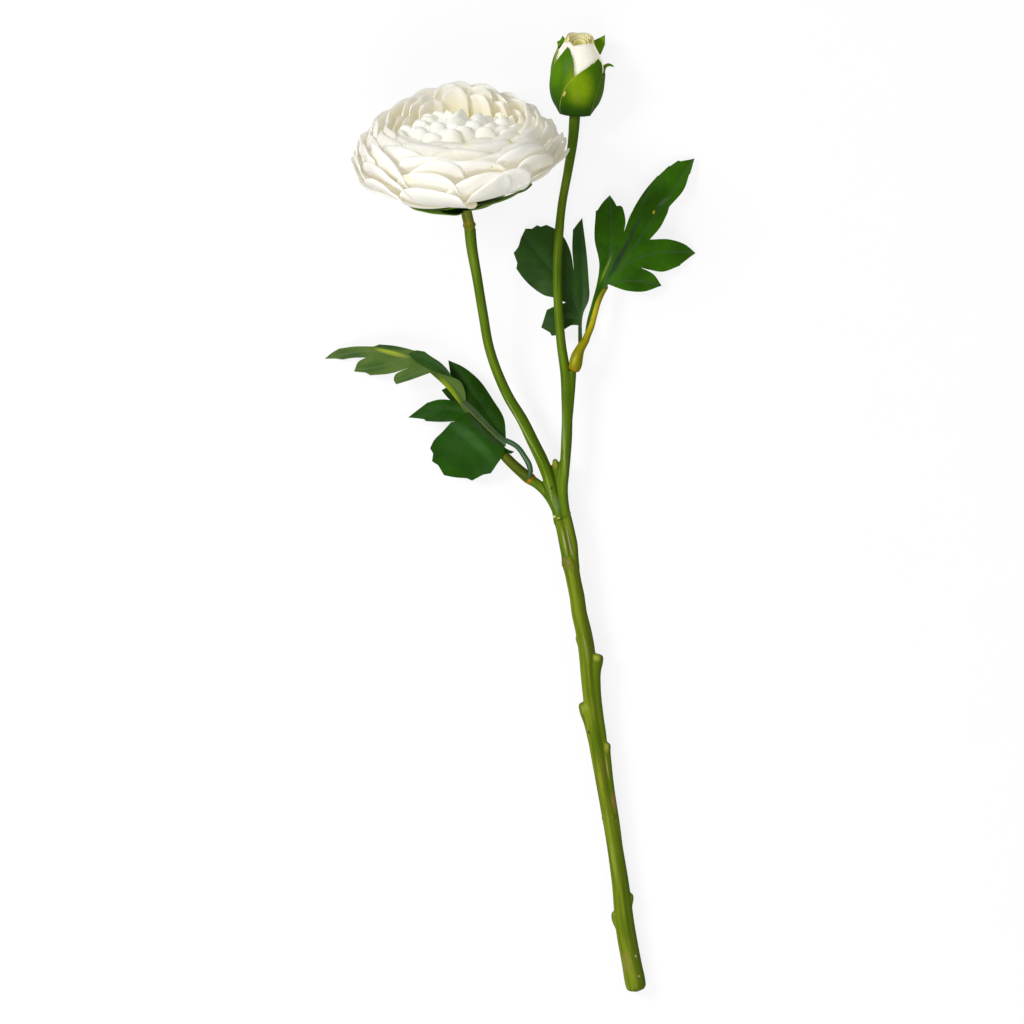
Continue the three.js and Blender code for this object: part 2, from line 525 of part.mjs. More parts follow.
function leftLeaf() {
  const rib = { root: [-2.1, 30.9, 9.8], heading: 140 };
  const lobes = [
    blade(LEFT_SCALLOPED, bent({ ...rib, rise: -0.01, tilt: 0.12, cup: 0.0155 })),
    blade(LEFT_POINTED, bent({ ...rib, rise: -0.02, tilt: 0.1, cup: 0.0155 })),
    blade(LEFT_BEHIND, bent({ ...rib, rise: 0.01, sag: 0.002, tilt: 0.15, cup: 0.002 })),
    blade(LEFT_TWIST, bent({ root: [-15.1, 40.9, 9.7], heading: 128, rise: 0.03, tilt: 0.12 })),
    blade(LEFT_FAR, bent({ root: [-28, 59, 10.3], heading: 172, rise: -0.05, sag: 0.0031 })),
    blade(LEFT_FOLDED, bent({ root: [-24, 57, 11], heading: 150, rise: 0, sag: 0.0035 })),
    stalk(LEFT_STRAP, 6, 12),
  ];
  return leaf(lobes, [LEFT_STALK, BLOOM_BRANCH, LEAF_TWIG]);
}

// Assembly

const flower = new THREE.Group();

const bloom = new THREE.Group();
bloom.position.set(...BLOOM_BASE);
bloom.rotation.set(-radians(90 - BLOOM_TILT), 0, radians(BLOOM_LEAN), "ZXY");
bloom.add(piece("bloom_petals", bloomPetals(bloom, bloomCalyx(2 * GAP)), PETAL_WHITE, 0.7));
bloom.add(piece("bloom_calyx", largest(bloomCalyx(0)), SEPAL_GREEN, 0.6));

const bud = new THREE.Group();
bud.position.set(...BUD_BASE);
bud.rotation.set(-radians(90 - BUD_TILT), 0, radians(BUD_LEAN), "ZXY");
bud.add(piece("bud_petals", budPetals(budCalyx(bud, 2 * GAP)), BUD_CREAM, 0.7));
bud.add(piece("bud_calyx", budCalyx(bud, 0), SEPAL_GREEN, 0.55));

flower.add(
  bloom,
  bud,
  piece("lower_stem", lowerStem(), STEM_GREEN, 0.55),
  piece("stem_sleeve", stemSleeve(), STEM_GREEN, 0.55),
  piece("forked_stem", forkedStem(), STEM_GREEN, 0.55),
  piece("right_leaf_stalk", stalk(RIGHT_SOCKET, 9, 16).subtract(stalk(BUD_BRANCH, 9, 24, GAP)), SOCKET_YELLOW, 0.5),
  piece("left_leaf_stalk", stalk(LEFT_STALK, 10, 10).intersect(beyond(...TWIG_SEAM, GAP / 2)), STALK_OLIVE, 0.5),
  piece("right_leaf_upper", rightLeafUpper(), LEAF_GREEN, 0.6),
  piece("right_leaf_lower", rightLeafLower(), LEAF_GREEN, 0.6),
  piece("left_leaf", leftLeaf(), LEAF_GREEN, 0.6),
);

export default flower;
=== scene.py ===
import math

import bpy
import numpy as np
from mathutils import Matrix, Vector
from mathutils.geometry import delaunay_2d_cdt


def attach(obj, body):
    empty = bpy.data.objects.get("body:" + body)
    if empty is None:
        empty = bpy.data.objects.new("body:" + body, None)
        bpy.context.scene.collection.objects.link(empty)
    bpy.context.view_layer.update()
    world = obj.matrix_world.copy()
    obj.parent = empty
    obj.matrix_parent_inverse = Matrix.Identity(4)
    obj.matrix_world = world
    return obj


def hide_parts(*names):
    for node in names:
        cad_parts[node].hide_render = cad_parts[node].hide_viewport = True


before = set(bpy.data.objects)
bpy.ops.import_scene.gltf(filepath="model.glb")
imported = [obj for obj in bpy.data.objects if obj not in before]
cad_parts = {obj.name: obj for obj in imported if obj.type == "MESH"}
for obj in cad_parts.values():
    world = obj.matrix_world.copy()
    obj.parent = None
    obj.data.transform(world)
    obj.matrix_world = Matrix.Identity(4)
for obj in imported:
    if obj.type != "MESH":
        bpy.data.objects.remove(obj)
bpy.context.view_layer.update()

# Lower stem
# The thick foot of the flower, cast in green plastic round its core and pulled from the mould as one piece.
# It has lengthwise ridges, cut-off leaf bases that were cast with it, and a rounded cut end.
MM = 0.001
STEM_FOOT = -201.2
STEM_RADIUS = 4.1
STEM_RISE = 5.4 / 180
FUSE_VOXEL = 0.36
FUSE_SMOOTHING = 4
SEAM_GAP = 0.02
GRAIN_POINTS = 150
GRAIN_BATCHES = 60
SPOT_CORE = 0.3
STEM_LIGHT = (0.175, 0.225, 0.008)
STEM_DARK = (0.085, 0.135, 0.001)
STEM_BROWN = (0.16, 0.10, 0.02)
STEM_SPECK = (0.5, 0.5, 0.3)
LOWER_STEM = [
    (53.5, -201.5, 3.9), (53, -198.6, 4.3), (51.4, -190, 4.2), (48.7, -174.9, 4.1), (46.4, -154.8, 3.6),
    (44.1, -139.7, 3.3), (41.4, -124.5, 3.2), (40, -116.7, 3.2), (38.1, -106, 3.3), (36.2, -95.3, 3.3),
    (34.8, -84.5, 3.3), (33.6, -73.8, 3.35), (32.9, -66.3, 3.4), (32.4, -58.8, 3.55), (31, -50, 3.45),
    (29.1, -41.7, 3.3), (28.2, -35, 3.25), (26.8, -28.2, 3.2), (26.1, -24.4, 3.3), (25.7, -22, 3.6),
    (25.3, -20.4, 3.5), (25.2, -18.8, 2.8), (25.1, -17.2, 1.9), (25, -15.8, 1.2),
]
NUB_LIFT = 0.4
NUBS = [
    [(40.4, -103, 1.2), (38.9, -93.3, 1.7), (37.4, -84.5, 1.95), (36.1, -73.8, 2.2), (35.9, -66.3, 2.45),
     (36.6, -61.5, 2.7), (36.9, -58.8, 2.4)],
    [(36.2, -104, 1.3), (34.6, -96, 1.7), (32.8, -87.5, 2), (31.3, -83, 2.1), (30.7, -80.6, 1.9),
     (30.7, -79.2, 1.6)],
    [(46.6, -143, 1.3), (44.4, -130, 1.8), (42.3, -117, 1.9), (41.1, -106, 1.8), (40.7, -99, 1.7),
     (41.2, -96.2, 1.4)],
    [(47.9, -177.8, 1.4), (45.8, -173.4, 1.9), (44.7, -170.4, 2), (44.5, -168.2, 1.8), (44.5, -167, 1.4)],
    [(49.6, -168.6, 1), (50.4, -164.4, 1.3), (50.8, -161.5, 1.3), (50.8, -159.6, 1)],
    [(30.2, -57.4, 1), (29.3, -54.6, 1.15), (28.4, -52.4, 0.9), (28.3, -51, 0.6)],
]
STEM_RING = [(42.35, -129, 3.2), (42.1, -127.8, 3.6), (41.85, -126.6, 3.2)]
# Each stain and speck: its middle, its reach along its own axes, its turn in degrees and its colour
STEM_STAINS = [
    ((40.1, -107, 10.9), (0.75, 9.5, 3), 9, STEM_BROWN),
    ((40.9, -107, 10.9), (0.5, 9, 3), 9, (0.5, 0.42, 0.12)),
    ((24.3, -21.5, 12), (3, 3.2, 5), 12, (0.15, 0.15, 0.015)),
    ((45.2, -121, 9), (4, 6, 6), 12, (0.2, 0.15, 0.03)),
    ((49, -189, 8), (2.5, 7, 5), 12, (0.2, 0.19, 0.025)),
    ((33.1, -92, 9), (0.6, 1.2, 4), 12, (0.03, 0.05, 0.01)),
    ((36.5, -60, 12), (2.5, 3, 4), 0, (0.28, 0.33, 0.03)),
    ((31.3, -82, 12), (2.5, 3, 4), 0, (0.25, 0.3, 0.03)),
    ((40.6, -98, 11), (2, 4, 4), 0, (0.3, 0.3, 0.03)),
    ((38, -113, 12), (1.5, 14, 6), 9, (0.23, 0.235, 0.015)),
    ((43.4, -146, 12), (1.6, 17, 6), 10, (0.23, 0.27, 0.03)),
]
STEM_SPECKS = [
    ((52.9, -186.3, 8), (0.5, 0.9, 4), 20, STEM_SPECK),
    ((54.2, -194.7, 8), (0.45, 0.7, 4), 20, STEM_SPECK),
]


class Wire:
    """An output of a material's node, with Python's arithmetic on it."""

    def __init__(self, tree, socket):
        self.tree = tree
        self.socket = socket

    def node(self, kind, sockets, output=0, **settings):
        made = self.tree.nodes.new("ShaderNode" + kind)
        for setting, value in settings.items():
            setattr(made, setting, value)
        for socket, value in sockets.items():
            if isinstance(value, Wire):
                self.tree.links.new(value.socket, made.inputs[socket])
            else:
                made.inputs[socket].default_value = value
        return Wire(self.tree, made.outputs[output])

    def maths(self, operation, other=0.0):
        return self.node("Math", {0: self, 1: other}, operation=operation)

    def __add__(self, other):
        return self.maths("ADD", other)

    __radd__ = __add__

    def __sub__(self, other):
        return self.maths("SUBTRACT", other)

    def __rsub__(self, other):
        return self.node("Math", {0: other, 1: self}, operation="SUBTRACT")

    def __mul__(self, other):
        return self.maths("MULTIPLY", other)

    __rmul__ = __mul__

    def __abs__(self):
        return self.maths("ABSOLUTE")

    def step(self, low, high):
        """0 below low and 1 above high, smooth between them."""
        sockets = {"Value": self, "From Min": low, "From Max": high}
        return self.node("MapRange", sockets, interpolation_type="SMOOTHSTEP")

    def tint(self, first, second):
        """The first colour where this is 0, and the second where it is 1."""
        colours = [c if isinstance(c, Wire) else (*c, 1.0) for c in (first, second)]
        return self.node("Mix", {0: self, 6: colours[0], 7: colours[1]}, output=2, data_type="RGBA")

    def noise(self, scale, detail=2.0, stretch=(1, 1, 1)):
        """Noise on this vector, scale patches a metre, less a half so that it swings about 0."""
        at = self.node("Mapping", {"Vector": self, "Scale": [scale * s for s in stretch]})
        return self.node("TexNoise", {"Vector": at, "Scale": 1.0, "Detail": detail}) - 0.5

    def spot(self, middle, reach, heading=0.0):
        """1 inside an ellipsoid at middle, turned heading degrees about Z, and 0 outside it. Millimetres."""
        place = [c * MM for c in middle]
        size = [c * MM for c in reach]
        turn = (0, 0, math.radians(heading))
        sockets = {"Vector": self, "Location": place, "Rotation": turn, "Scale": size}
        local = self.node("Mapping", sockets, vector_type="TEXTURE")
        away = local.node("VectorMath", {0: local}, output=1, operation="LENGTH")
        return 1 - away.step(SPOT_CORE, 1.0)


def new_material(name, **constants):
    """A material, its shader and its Object coordinates. Constants are set on the shader's own sockets."""
    material = bpy.data.materials.new(name)
    material.use_nodes = True
    tree = material.node_tree
    shader = tree.nodes["Principled BSDF"]
    for socket, value in constants.items():
        shader.inputs[socket.replace("_", " ")].default_value = value
    place = Wire(tree, tree.nodes.new("ShaderNodeTexCoord").outputs["Object"])
    return material, shader, place


def attribute(place, name, output=2):
    """An attribute of the mesh as a number, or as a vector with output 1."""
    return place.node("Attribute", {}, output=output, attribute_name=name)


def connect(shader, socket, wire):
    wire.tree.links.new(wire.socket, shader.inputs[socket])


def bump(shader, height, strength, depth):
    """Relief from a height of 0 to 1, depth millimetres deep."""
    sockets = {"Strength": strength, "Distance": depth * MM, "Height": height}
    connect(shader, "Normal", height.node("Bump", sockets))


def smooth_line(points, count):
    """count evenly spaced points on a smooth line through the points. Values after the place go along."""
    points = np.array(points, float)
    steps = np.linalg.norm(np.diff(points[:, :min(3, points.shape[1])], axis=0), axis=1)
    knots = np.concatenate([[0], np.cumsum(steps)])
    slopes = np.gradient(points, knots, axis=0)
    reach = np.linspace(0, knots[-1], count)
    before = np.clip(np.searchsorted(knots, reach, side="right") - 1, 0, len(points) - 2)
    gap = (knots[before + 1] - knots[before])[:, None]
    t = (reach - knots[before])[:, None] / gap
    start = (1 + 2 * t) * (1 - t) ** 2 * points[before] + t * (1 - t) ** 2 * gap * slopes[before]
    return start + t * t * (3 - 2 * t) * points[before + 1] + t * t * (t - 1) * gap * slopes[before + 1]


def surface(name, across, along, at, place=Matrix.Identity(4)):
    """A grid of across by along faces, shaped by at(u, v): u from -1 to 1 and v from 0 to 1. Millimetres."""
    bpy.ops.object.select_all(action="DESELECT")
    bpy.ops.mesh.primitive_grid_add(x_subdivisions=across, y_subdivisions=along, size=2)
    piece = bpy.context.object
    piece.name = name
    flat = np.zeros(len(piece.data.vertices) * 3)
    piece.data.vertices.foreach_get("co", flat)
    u, v = flat[0::3], (flat[1::3] + 1) / 2
    shaped = np.array(at(u, v)).T
    stood = shaped @ np.array(place.to_3x3()).T + np.array(place.translation)
    piece.data.vertices.foreach_set("co", (stood * MM).ravel())
    for label, values in (("across", u), ("along", v)):
        piece.data.attributes.new(label, "FLOAT", "POINT").data.foreach_set("value", values)
    return piece


def clean(piece):
    """Closes seams and poles, and turns the faces outwards."""
    bpy.ops.object.select_all(action="DESELECT")
    piece.select_set(True)
    bpy.context.view_layer.objects.active = piece
    bpy.ops.object.mode_set(mode="EDIT")
    bpy.ops.mesh.select_all(action="SELECT")
    bpy.ops.mesh.remove_doubles(threshold=SEAM_GAP * MM)
    bpy.ops.mesh.normals_make_consistent(inside=False)
    bpy.ops.object.mode_set(mode="OBJECT")
    return piece


def tube(name, points, sides, step, cap, section=lambda angle, reach: 1):
    """A closed stalk along points (x, y, z, radius), its ends rounded over cap. section scales its radius."""
    length = np.linalg.norm(np.diff(np.array(points)[:, :3], axis=0), axis=1).sum()
    count = max(8, int(length / step))
    line = smooth_line(points, count + 1)
    heading = np.gradient(line[:, :3], axis=0)
    heading /= np.linalg.norm(heading, axis=1)[:, None]
    side = np.cross(heading, (0, 0, 1.0))
    side /= np.linalg.norm(side, axis=1)[:, None]
    up = np.cross(side, heading)

    def at(u, v):
        row = np.rint(v * count).astype(int)
        reach = v * length
        inset = np.clip(1 - np.minimum(reach, length - reach) / cap, 0, 1)
        radius = line[row, 3] * np.sqrt(1 - inset ** 2) * section(np.pi * u, reach)
        spot = line[row, :3] + (radius * np.sin(np.pi * u))[:, None] * side[row]
        return (spot + (radius * np.cos(np.pi * u))[:, None] * up[row]).T

    return clean(surface(name, sides, count, at))


def joined(name, pieces):
    """Several pieces as one object."""
    bpy.ops.object.select_all(action="DESELECT")
    for piece in pieces:
        piece.select_set(True)
    bpy.context.view_layer.objects.active = pieces[0]
    if len(pieces) > 1:
        bpy.ops.object.join()
    pieces[0].name = name
    return pieces[0]


def apply(piece, kind, **settings):
    """Adds a modifier with its settings and applies it."""
    bpy.ops.object.select_all(action="DESELECT")
    piece.select_set(True)
    bpy.context.view_layer.objects.active = piece
    modifier = piece.modifiers.new(kind.lower(), kind)
    for setting, value in settings.items():
        setattr(modifier, setting, value)
    bpy.ops.object.modifier_apply(modifier=modifier.name)


def fused(name, pieces, lines):
    """Stalks melted into one moulding. grain holds each point's place across and along the nearest line."""
    piece = joined(name, pieces)
    apply(piece, "REMESH", mode="VOXEL", voxel_size=FUSE_VOXEL * MM)
    apply(piece, "SMOOTH", factor=0.5, iterations=FUSE_SMOOTHING)
    bpy.ops.object.shade_smooth()
    grain(piece, lines)
    return piece


def grain(piece, lines):
    """Stores each point's place across and along the nearest of the lines, in metres."""
    middles, ways, reaches = [], [], []
    for points in lines:
        line = smooth_line(points, GRAIN_POINTS)[:, :3]
        middles.append(line)
        ways.append(np.gradient(line, axis=0))
        reaches.append(np.linalg.norm(line - line[0], axis=1))
    middles, ways, reaches = np.concatenate(middles), np.concatenate(ways), np.concatenate(reaches)
    ways /= np.linalg.norm(ways, axis=1)[:, None]
    side = np.cross(ways, (0, 0, 1.0))
    side /= np.linalg.norm(side, axis=1)[:, None]
    place = np.zeros(len(piece.data.vertices) * 3)
    piece.data.vertices.foreach_get("co", place)
    place = place.reshape(-1, 3) / MM
    near = np.concatenate([
        np.argmin(((part[:, None, :] - middles[None]) ** 2).sum(2), axis=1)
        for part in np.array_split(place, GRAIN_BATCHES)])
    offset = place - middles[near]
    across = (offset * side[near]).sum(1)
    up = (offset * np.cross(side[near], ways[near])).sum(1)
    reach = reaches[near] + (offset * ways[near]).sum(1)
    values = np.stack([across, up, reach], axis=1) * MM
    piece.data.attributes.new("grain", "FLOAT_VECTOR", "POINT").data.foreach_set("vector", values.ravel())


def stem_height(y):
    """Height of the lower stem's middle, which rises from its foot to the fork."""
    return STEM_RADIUS + (y - STEM_FOOT) * STEM_RISE


def on_stem(points, lift=0.0):
    """Points (x, y, radius) of the lower stem or of a nub on it, raised to the stem's height."""
    return [(x, y, stem_height(y) + lift, radius) for x, y, radius in points]


def stem_ridges(angle, reach):
    """The stem's section: two flat cheeks and finer ridges, which wander along it."""
    wander = 0.35 * np.sin(reach / 31)
    broad = 0.04 * np.cos(2 * angle + 0.6 + wander)
    return 1 + broad + 0.04 * np.cos(5 * angle + wander) + 0.02 * np.cos(9 * angle - 0.8)


def stem_material(name, light, dark, stains_and_highlights=(), specks=(), shine=(0.33, 0.4, 0.16)):
    """Satin moulded plastic with lengthwise streaks. Each stain or painted highlight is (middle, reach,
    heading, colour).
    """
    material, shader, place = new_material(name, Coat_Roughness=0.22, Specular_IOR_Level=0.1)
    ways = attribute(place, "grain", output=1)
    streaks = ways.noise(750, detail=4, stretch=(1, 1, 0.05))
    blotches = ways.noise(160, detail=3, stretch=(1, 1, 0.3))
    colour = (streaks * 1.9 + blotches * 1.2 + 0.5).step(0.1, 0.9).tint(dark, light)
    # Thin pale streaks along the ridges are painted sheen, blended towards shine.
    ridge_sheen = ways.noise(1150, detail=2, stretch=(1, 1, 0.025)).step(0.13, 0.3)
    colour = (ridge_sheen * 0.62).tint(colour, shine)
    # The right flank is darkened towards the dark colour: painted shade.
    side = ways.node("SeparateXYZ", {0: ways}, output=0)
    colour = ((side * (1 / MM)).step(0.5, 1.9) * 0.8).tint(colour, dark)
    mottle = place.noise(420, detail=3)
    for middle, reach, heading, stain_or_painted_light in stains_and_highlights:
        mask = place.spot(middle, reach, heading) * (mottle * 2.2 + 0.8).step(0, 0.8)
        colour = mask.tint(colour, stain_or_painted_light)
    for middle, reach, heading, speck in specks:
        colour = place.spot(middle, reach, heading).tint(colour, speck)
    connect(shader, "Base Color", colour)
    connect(shader, "Roughness", streaks * 0.25 + 0.4)
    connect(shader, "Coat Weight", (blotches + 0.55).step(0.2, 0.9) * 0.1)
    bump(shader, streaks * 1.2 + mottle * 0.3 + 0.5, 0.6, 0.3)
    return material


lower_line = on_stem(LOWER_STEM)
parts = [tube("stem", lower_line, sides=40, step=0.8, cap=2.4, section=stem_ridges)]
parts += [tube("nub", on_stem(points, NUB_LIFT), sides=16, step=0.6, cap=1.5) for points in NUBS]
parts.append(tube("ring", on_stem(STEM_RING), sides=32, step=0.3, cap=0.8))
lower_stem = fused("lower_stem_moulding", parts, [lower_line])
lower_stem.data.materials.append(
    stem_material("lower_stem_green", STEM_LIGHT, STEM_DARK, STEM_STAINS, STEM_SPECKS))
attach(lower_stem, "root")
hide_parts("lower_stem")

# Stem sleeve
# The short double moulding between the lower stem and the fork: two strands cast side by side with a
# groove between them, glued between two seam rings. A line of mould flash runs down its front.
SLEEVE_STRANDS = [
    [(24.2, -22.8, 10, 2.5), (23.9, -18.6, 9.95, 2.3), (22.6, -12, 9.9, 2.15), (21.5, -6.5, 10, 2.1),
     (20.2, -1.5, 10.1, 2.15), (19.4, 2, 10.1, 1.7)],
    [(26.9, -22.8, 10, 2.4), (26.7, -18.6, 9.95, 2.2), (26.4, -13.5, 9.8, 2.15), (25.4, -8.5, 10, 2.15),
     (24.2, -3.2, 10.1, 2.1), (23.2, 2, 10.1, 1.7)],
]
FLASH_LINE = [
    (23.8, -4.6, 12, 0.25), (24.5, -9.5, 11.85, 0.4), (25.5, -14, 11.9, 0.45), (26.4, -17.8, 12, 0.25),
]
SLEEVE_STAINS_AND_HIGHLIGHTS = [
    ((23.2, -20, 12), (2.5, 2.2, 4), 12, (0.16, 0.13, 0.02)),
    # A thin pale line along the strands is a painted highlight.
    ((22.9, -12.2, 12), (0.7, 8, 4), 11, (0.3, 0.35, 0.1)),
    ((21.6, -2.3, 12), (4.5, 0.45, 4), 25, (0.05, 0.09, 0.002)),
]


def cast_alone(name, line, material, **shape):
    """A stalk that is cast by itself, with its grain and its plastic."""
    piece = tube(name, line, **shape)
    bpy.ops.object.shade_smooth()
    grain(piece, [line])
    piece.data.materials.append(material)
    return piece


strands = [tube("strand", line, sides=24, step=0.7, cap=0.7) for line in SLEEVE_STRANDS]
sleeve = fused("stem_sleeve_moulding", strands, SLEEVE_STRANDS)
sleeve.data.materials.append(
    stem_material("sleeve_green", (0.135, 0.195, 0.005), (0.065, 0.12, 0.001), SLEEVE_STAINS_AND_HIGHLIGHTS))
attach(sleeve, "root")
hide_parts("stem_sleeve")

flash_plastic = stem_material("flash_plastic", (0.38, 0.34, 0.2), (0.22, 0.2, 0.08))
flash = cast_alone("sleeve_flash", FLASH_LINE, flash_plastic, sides=10, step=0.6, cap=0.6)
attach(flash, "root")

# Forked stem
# One casting in satin green plastic: the bloom's branch, the bud's branch, the short twig that carries the
# left leaf, and two cut stubs. The branches melt together at the fork, and glue shows at the seam below it.
BLOOM_BRANCH = [
    (20.5, -5.5, 9.9, 1.7), (20.2, -2.7, 10.1, 2), (19.8, 0.7, 10.1, 2.1), (18.5, 5.5, 10.2, 2.4),
    (17.5, 10.3, 10.4, 2.45), (15.7, 16.6, 10.7, 2.6), (13.3, 22.6, 11, 2.6), (9.9, 29.6, 11.2, 2.5),
    (5.3, 39.1, 11.7, 2.35), (-0.6, 48.9, 12.4, 2.2), (-5.2, 59, 13.5, 2.1), (-8.6, 69.1, 15, 2.05),
    (-11.4, 84.2, 18, 2.05), (-13.9, 99.3, 21.6, 2.1), (-16.2, 112.7, 25.6, 2.35),
    (-16.9, 120, 28.55, 2.45),
]
BUD_BRANCH = [
    (24.7, -6.5, 9.9, 1.7), (24.1, -3.2, 10.1, 1.95), (23.3, 0.7, 10.1, 1.95), (22.6, 5.5, 10.2, 2),
    (22.3, 10.3, 10.4, 2.05), (22.8, 17.6, 10.6, 2.15), (23.4, 24.8, 10.7, 2.2), (23.8, 32, 10.8, 2.3),
    (24, 39.3, 10.9, 2.25), (23.9, 47.7, 11, 2.3), (23.3, 58.9, 11.1, 2.2), (21.6, 70.8, 11.1, 2),
    (20.4, 85.5, 10.8, 1.95), (19.9, 100.2, 10, 1.95), (20.4, 114.9, 9, 1.95), (21.8, 129.6, 8.3, 1.8),
    (24.4, 144.3, 8.2, 1.9), (26.4, 156.9, 9, 2.1), (27.1, 165.5, 9.8, 2.3), (27.3, 169.5, 10, 2.3),
]
LEAF_TWIG = [
    (20.2, -1, 10.2, 1.8), (18.5, 3.8, 10.2, 2.1), (15.4, 8.8, 10.3, 2.2), (12, 12, 10.4, 2.1),
    (8.2, 14.6, 10.4, 2.2),
]
LEAF_STUB = [(26.3, 60.5, 11.2, 1.7), (25.8, 54, 11, 1.8), (25.2, 46, 10.9, 1.75), (24.5, 36, 10.9, 1.5)]
MOULD_BURR = [(24.7, 0.2, 11, 0.7), (25.7, 0.5, 11, 0.6)]
CUT_STUB = [(20.4, 9.1, 9.8, 1.5), (19.8, 16.2, 10, 1.45), (19.2, 20.5, 10.1, 1.4), (18.8, 23.2, 10.1, 1.1)]
FORK_STAINS_AND_HIGHLIGHTS = [
    ((18.6, 21, 12), (2, 3, 3), 0, (0.3, 0.26, 0.02)),
    # A soft pale patch at the fork and thin pale lines along the tops of both branches are painted
    # highlights.
    ((19.6, 4, 12), (1.8, 6, 4), 12, (0.15, 0.23, 0.05)),
    ((22.6, 30, 13), (0.7, 24, 2), 2, (0.2, 0.27, 0.06)),
    ((5.2, 36, 14), (0.45, 22, 2), 29, (0.25, 0.32, 0.09)),
    ((21.8, -1.9, 12), (4.5, 0.4, 4), 25, (0.05, 0.09, 0.002)),
]
FORK_SPECKS = [((17.5, 10.7, 12.4), (1.2, 0.8, 2), 60, (0.03, 0.06, 0.004))]
# Each bead: its middle and its reach
GLUE_BEADS = [((18.8, -1.3, 11.5), (0.85, 0.6, 0.5)), ((20.5, -1.9, 12.2), (0.6, 0.25, 0.3))]


def branch_ridges(angle, reach):
    """The section of both branches, with three broad ridges and finer ones between them."""
    return 1 + 0.035 * np.cos(3 * angle + 0.5) + 0.02 * np.cos(7 * angle)


def glue_bead(middle, reach):
    """A drop of glue with three slight lobes."""
    def at(u, v):
        lobes = 1 + 0.15 * np.sin(3 * np.pi * u)
        return (
            middle[0] + reach[0] * np.sin(np.pi * v) * np.cos(np.pi * u) * lobes,
            middle[1] + reach[1] * np.sin(np.pi * v) * np.sin(np.pi * u),
            middle[2] + reach[2] * np.cos(np.pi * v),
        )

    return clean(surface("bead", across=16, along=10, at=at))


branches = [
    tube("bloom_branch", BLOOM_BRANCH, sides=28, step=0.8, cap=0.5, section=branch_ridges),
    tube("bud_branch", BUD_BRANCH, sides=28, step=0.8, cap=0.5, section=branch_ridges),
    tube("leaf_twig", LEAF_TWIG, sides=20, step=0.7, cap=0.4),
    tube("cut_stub", CUT_STUB, sides=18, step=0.6, cap=1.2),
    tube("leaf_stub", LEAF_STUB, sides=18, step=0.6, cap=0.8),
    tube("burr", MOULD_BURR, sides=10, step=0.2, cap=0.5),
]
fork = fused("forked_stem_moulding", branches, [BLOOM_BRANCH, BUD_BRANCH])
fork.data.materials.append(
    stem_material("fork_green", (0.12, 0.195, 0.003), (0.055, 0.115, 0.0005), FORK_STAINS_AND_HIGHLIGHTS, FORK_SPECKS))
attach(fork, "root")
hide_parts("forked_stem")

glue = joined("seam_glue", [glue_bead(*bead) for bead in GLUE_BEADS])
bpy.ops.object.shade_smooth()
dried_glue, shader, place = new_material("dried_glue", Roughness=0.35, Subsurface_Weight=0.3)
shader.inputs["Subsurface Radius"].default_value = (0.001, 0.001, 0.0006)
connect(shader, "Base Color", place.noise(1500).step(-0.2, 0.2).tint((0.6, 0.55, 0.14), (0.8, 0.76, 0.4)))
glue.data.materials.append(dried_glue)
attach(glue, "root")

# Leaf stalks
# Two leaf stalks cast in yellow green plastic and pushed onto the stem. The right one is a swollen socket
# that runs out under its leaf, and the left one has an orange ring where it leaves the twig.
RIGHT_SOCKET = [
    (26.4, 59.6, 11.8, 2.1), (27.3, 61.8, 11.9, 2.65), (28.2, 66, 11.9, 2.6), (29.5, 69.2, 11.7, 2),
    (30.8, 71.4, 11.3, 1.8), (31.7, 72.8, 11, 1.65), (32.5, 74.8, 10.8, 1.5), (33.9, 77.8, 10.4, 1.35),
    (35.4, 83, 9.6, 1.25), (37.3, 89.8, 8.6, 1.3), (39, 93.4, 7.9, 1.25), (41, 96, 7.2, 0.9),
]
LEFT_STALK = [
    (10.2, 13.4, 10.4, 2.2), (8, 14.9, 10.1, 2.5), (5, 17.3, 9.4, 2.3), (2.1, 19.9, 8.7, 2.2),
    (-2.9, 25, 7.3, 1.9), (-5, 27.6, 6.9, 1.2),
]
# Each stalk: its node, its line, its slot, its light and dark colours, and its stains and painted highlights
LEAF_STALKS = [
    ("right_leaf_stalk", RIGHT_SOCKET, "socket", (0.28, 0.25, 0.0005), (0.19, 0.18, 0.0005), [
        ((26, 60.4, 12), (3, 2.2, 4), 0, (0.3, 0.14, 0.005)),
        # A narrow pale streak along the socket's top is a painted highlight.
        ((27.3, 64.5, 13), (1.3, 4.4, 3), -22, (0.42, 0.4, 0.01)),
        ((34.5, 82, 10), (3, 12, 4), -18, (0.42, 0.35, 0.005)),
    ]),
    ("left_leaf_stalk", LEFT_STALK, "leaf_stalk", (0.085, 0.11, 0.001), (0.05, 0.075, 0.0005), [
        ((8.7, 14.2, 11), (1.3, 5, 6), -42, (0.36, 0.17, 0.002)),
    ]),
]
for node, line, slot, light, dark, stains_and_highlights in LEAF_STALKS:
    plastic = stem_material(node + "_plastic", light, dark, stains_and_highlights)
    stalk = cast_alone(node + "_moulding", line, plastic, sides=28, step=0.5, cap=1.1)
    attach(stalk, "root")
    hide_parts(node)

# Leaves
# Leaves cut from a printed sheet, pressed to raise their veins and glued to their stalks. They are dark above
# and paler below, and each lobe is bent along its rib. The left leaf's twist shows its far half's underside.
LEAF_THICKNESS = 0.45
LEAF_FLOOR = 0.35
LEAF_SHARPEST = 50
# The mesh of a blade: its step, and in steps the gap between its rows and its margin inside the outline
LEAF_STEP = 0.9
LEAF_ROW_GAP = 0.87
LEAF_MARGIN = 0.55
# A blade's pressing: its ripples along a rib and out from it, its crease's width and its arch's reach
RIPPLE_PACE = 0.42
RIPPLE_REACH = 8
CREASE_WIDTH = 1.6
ARCH_REACH = 9
# One unit of the map named rib, in millimetres
RIB_UNIT = 100
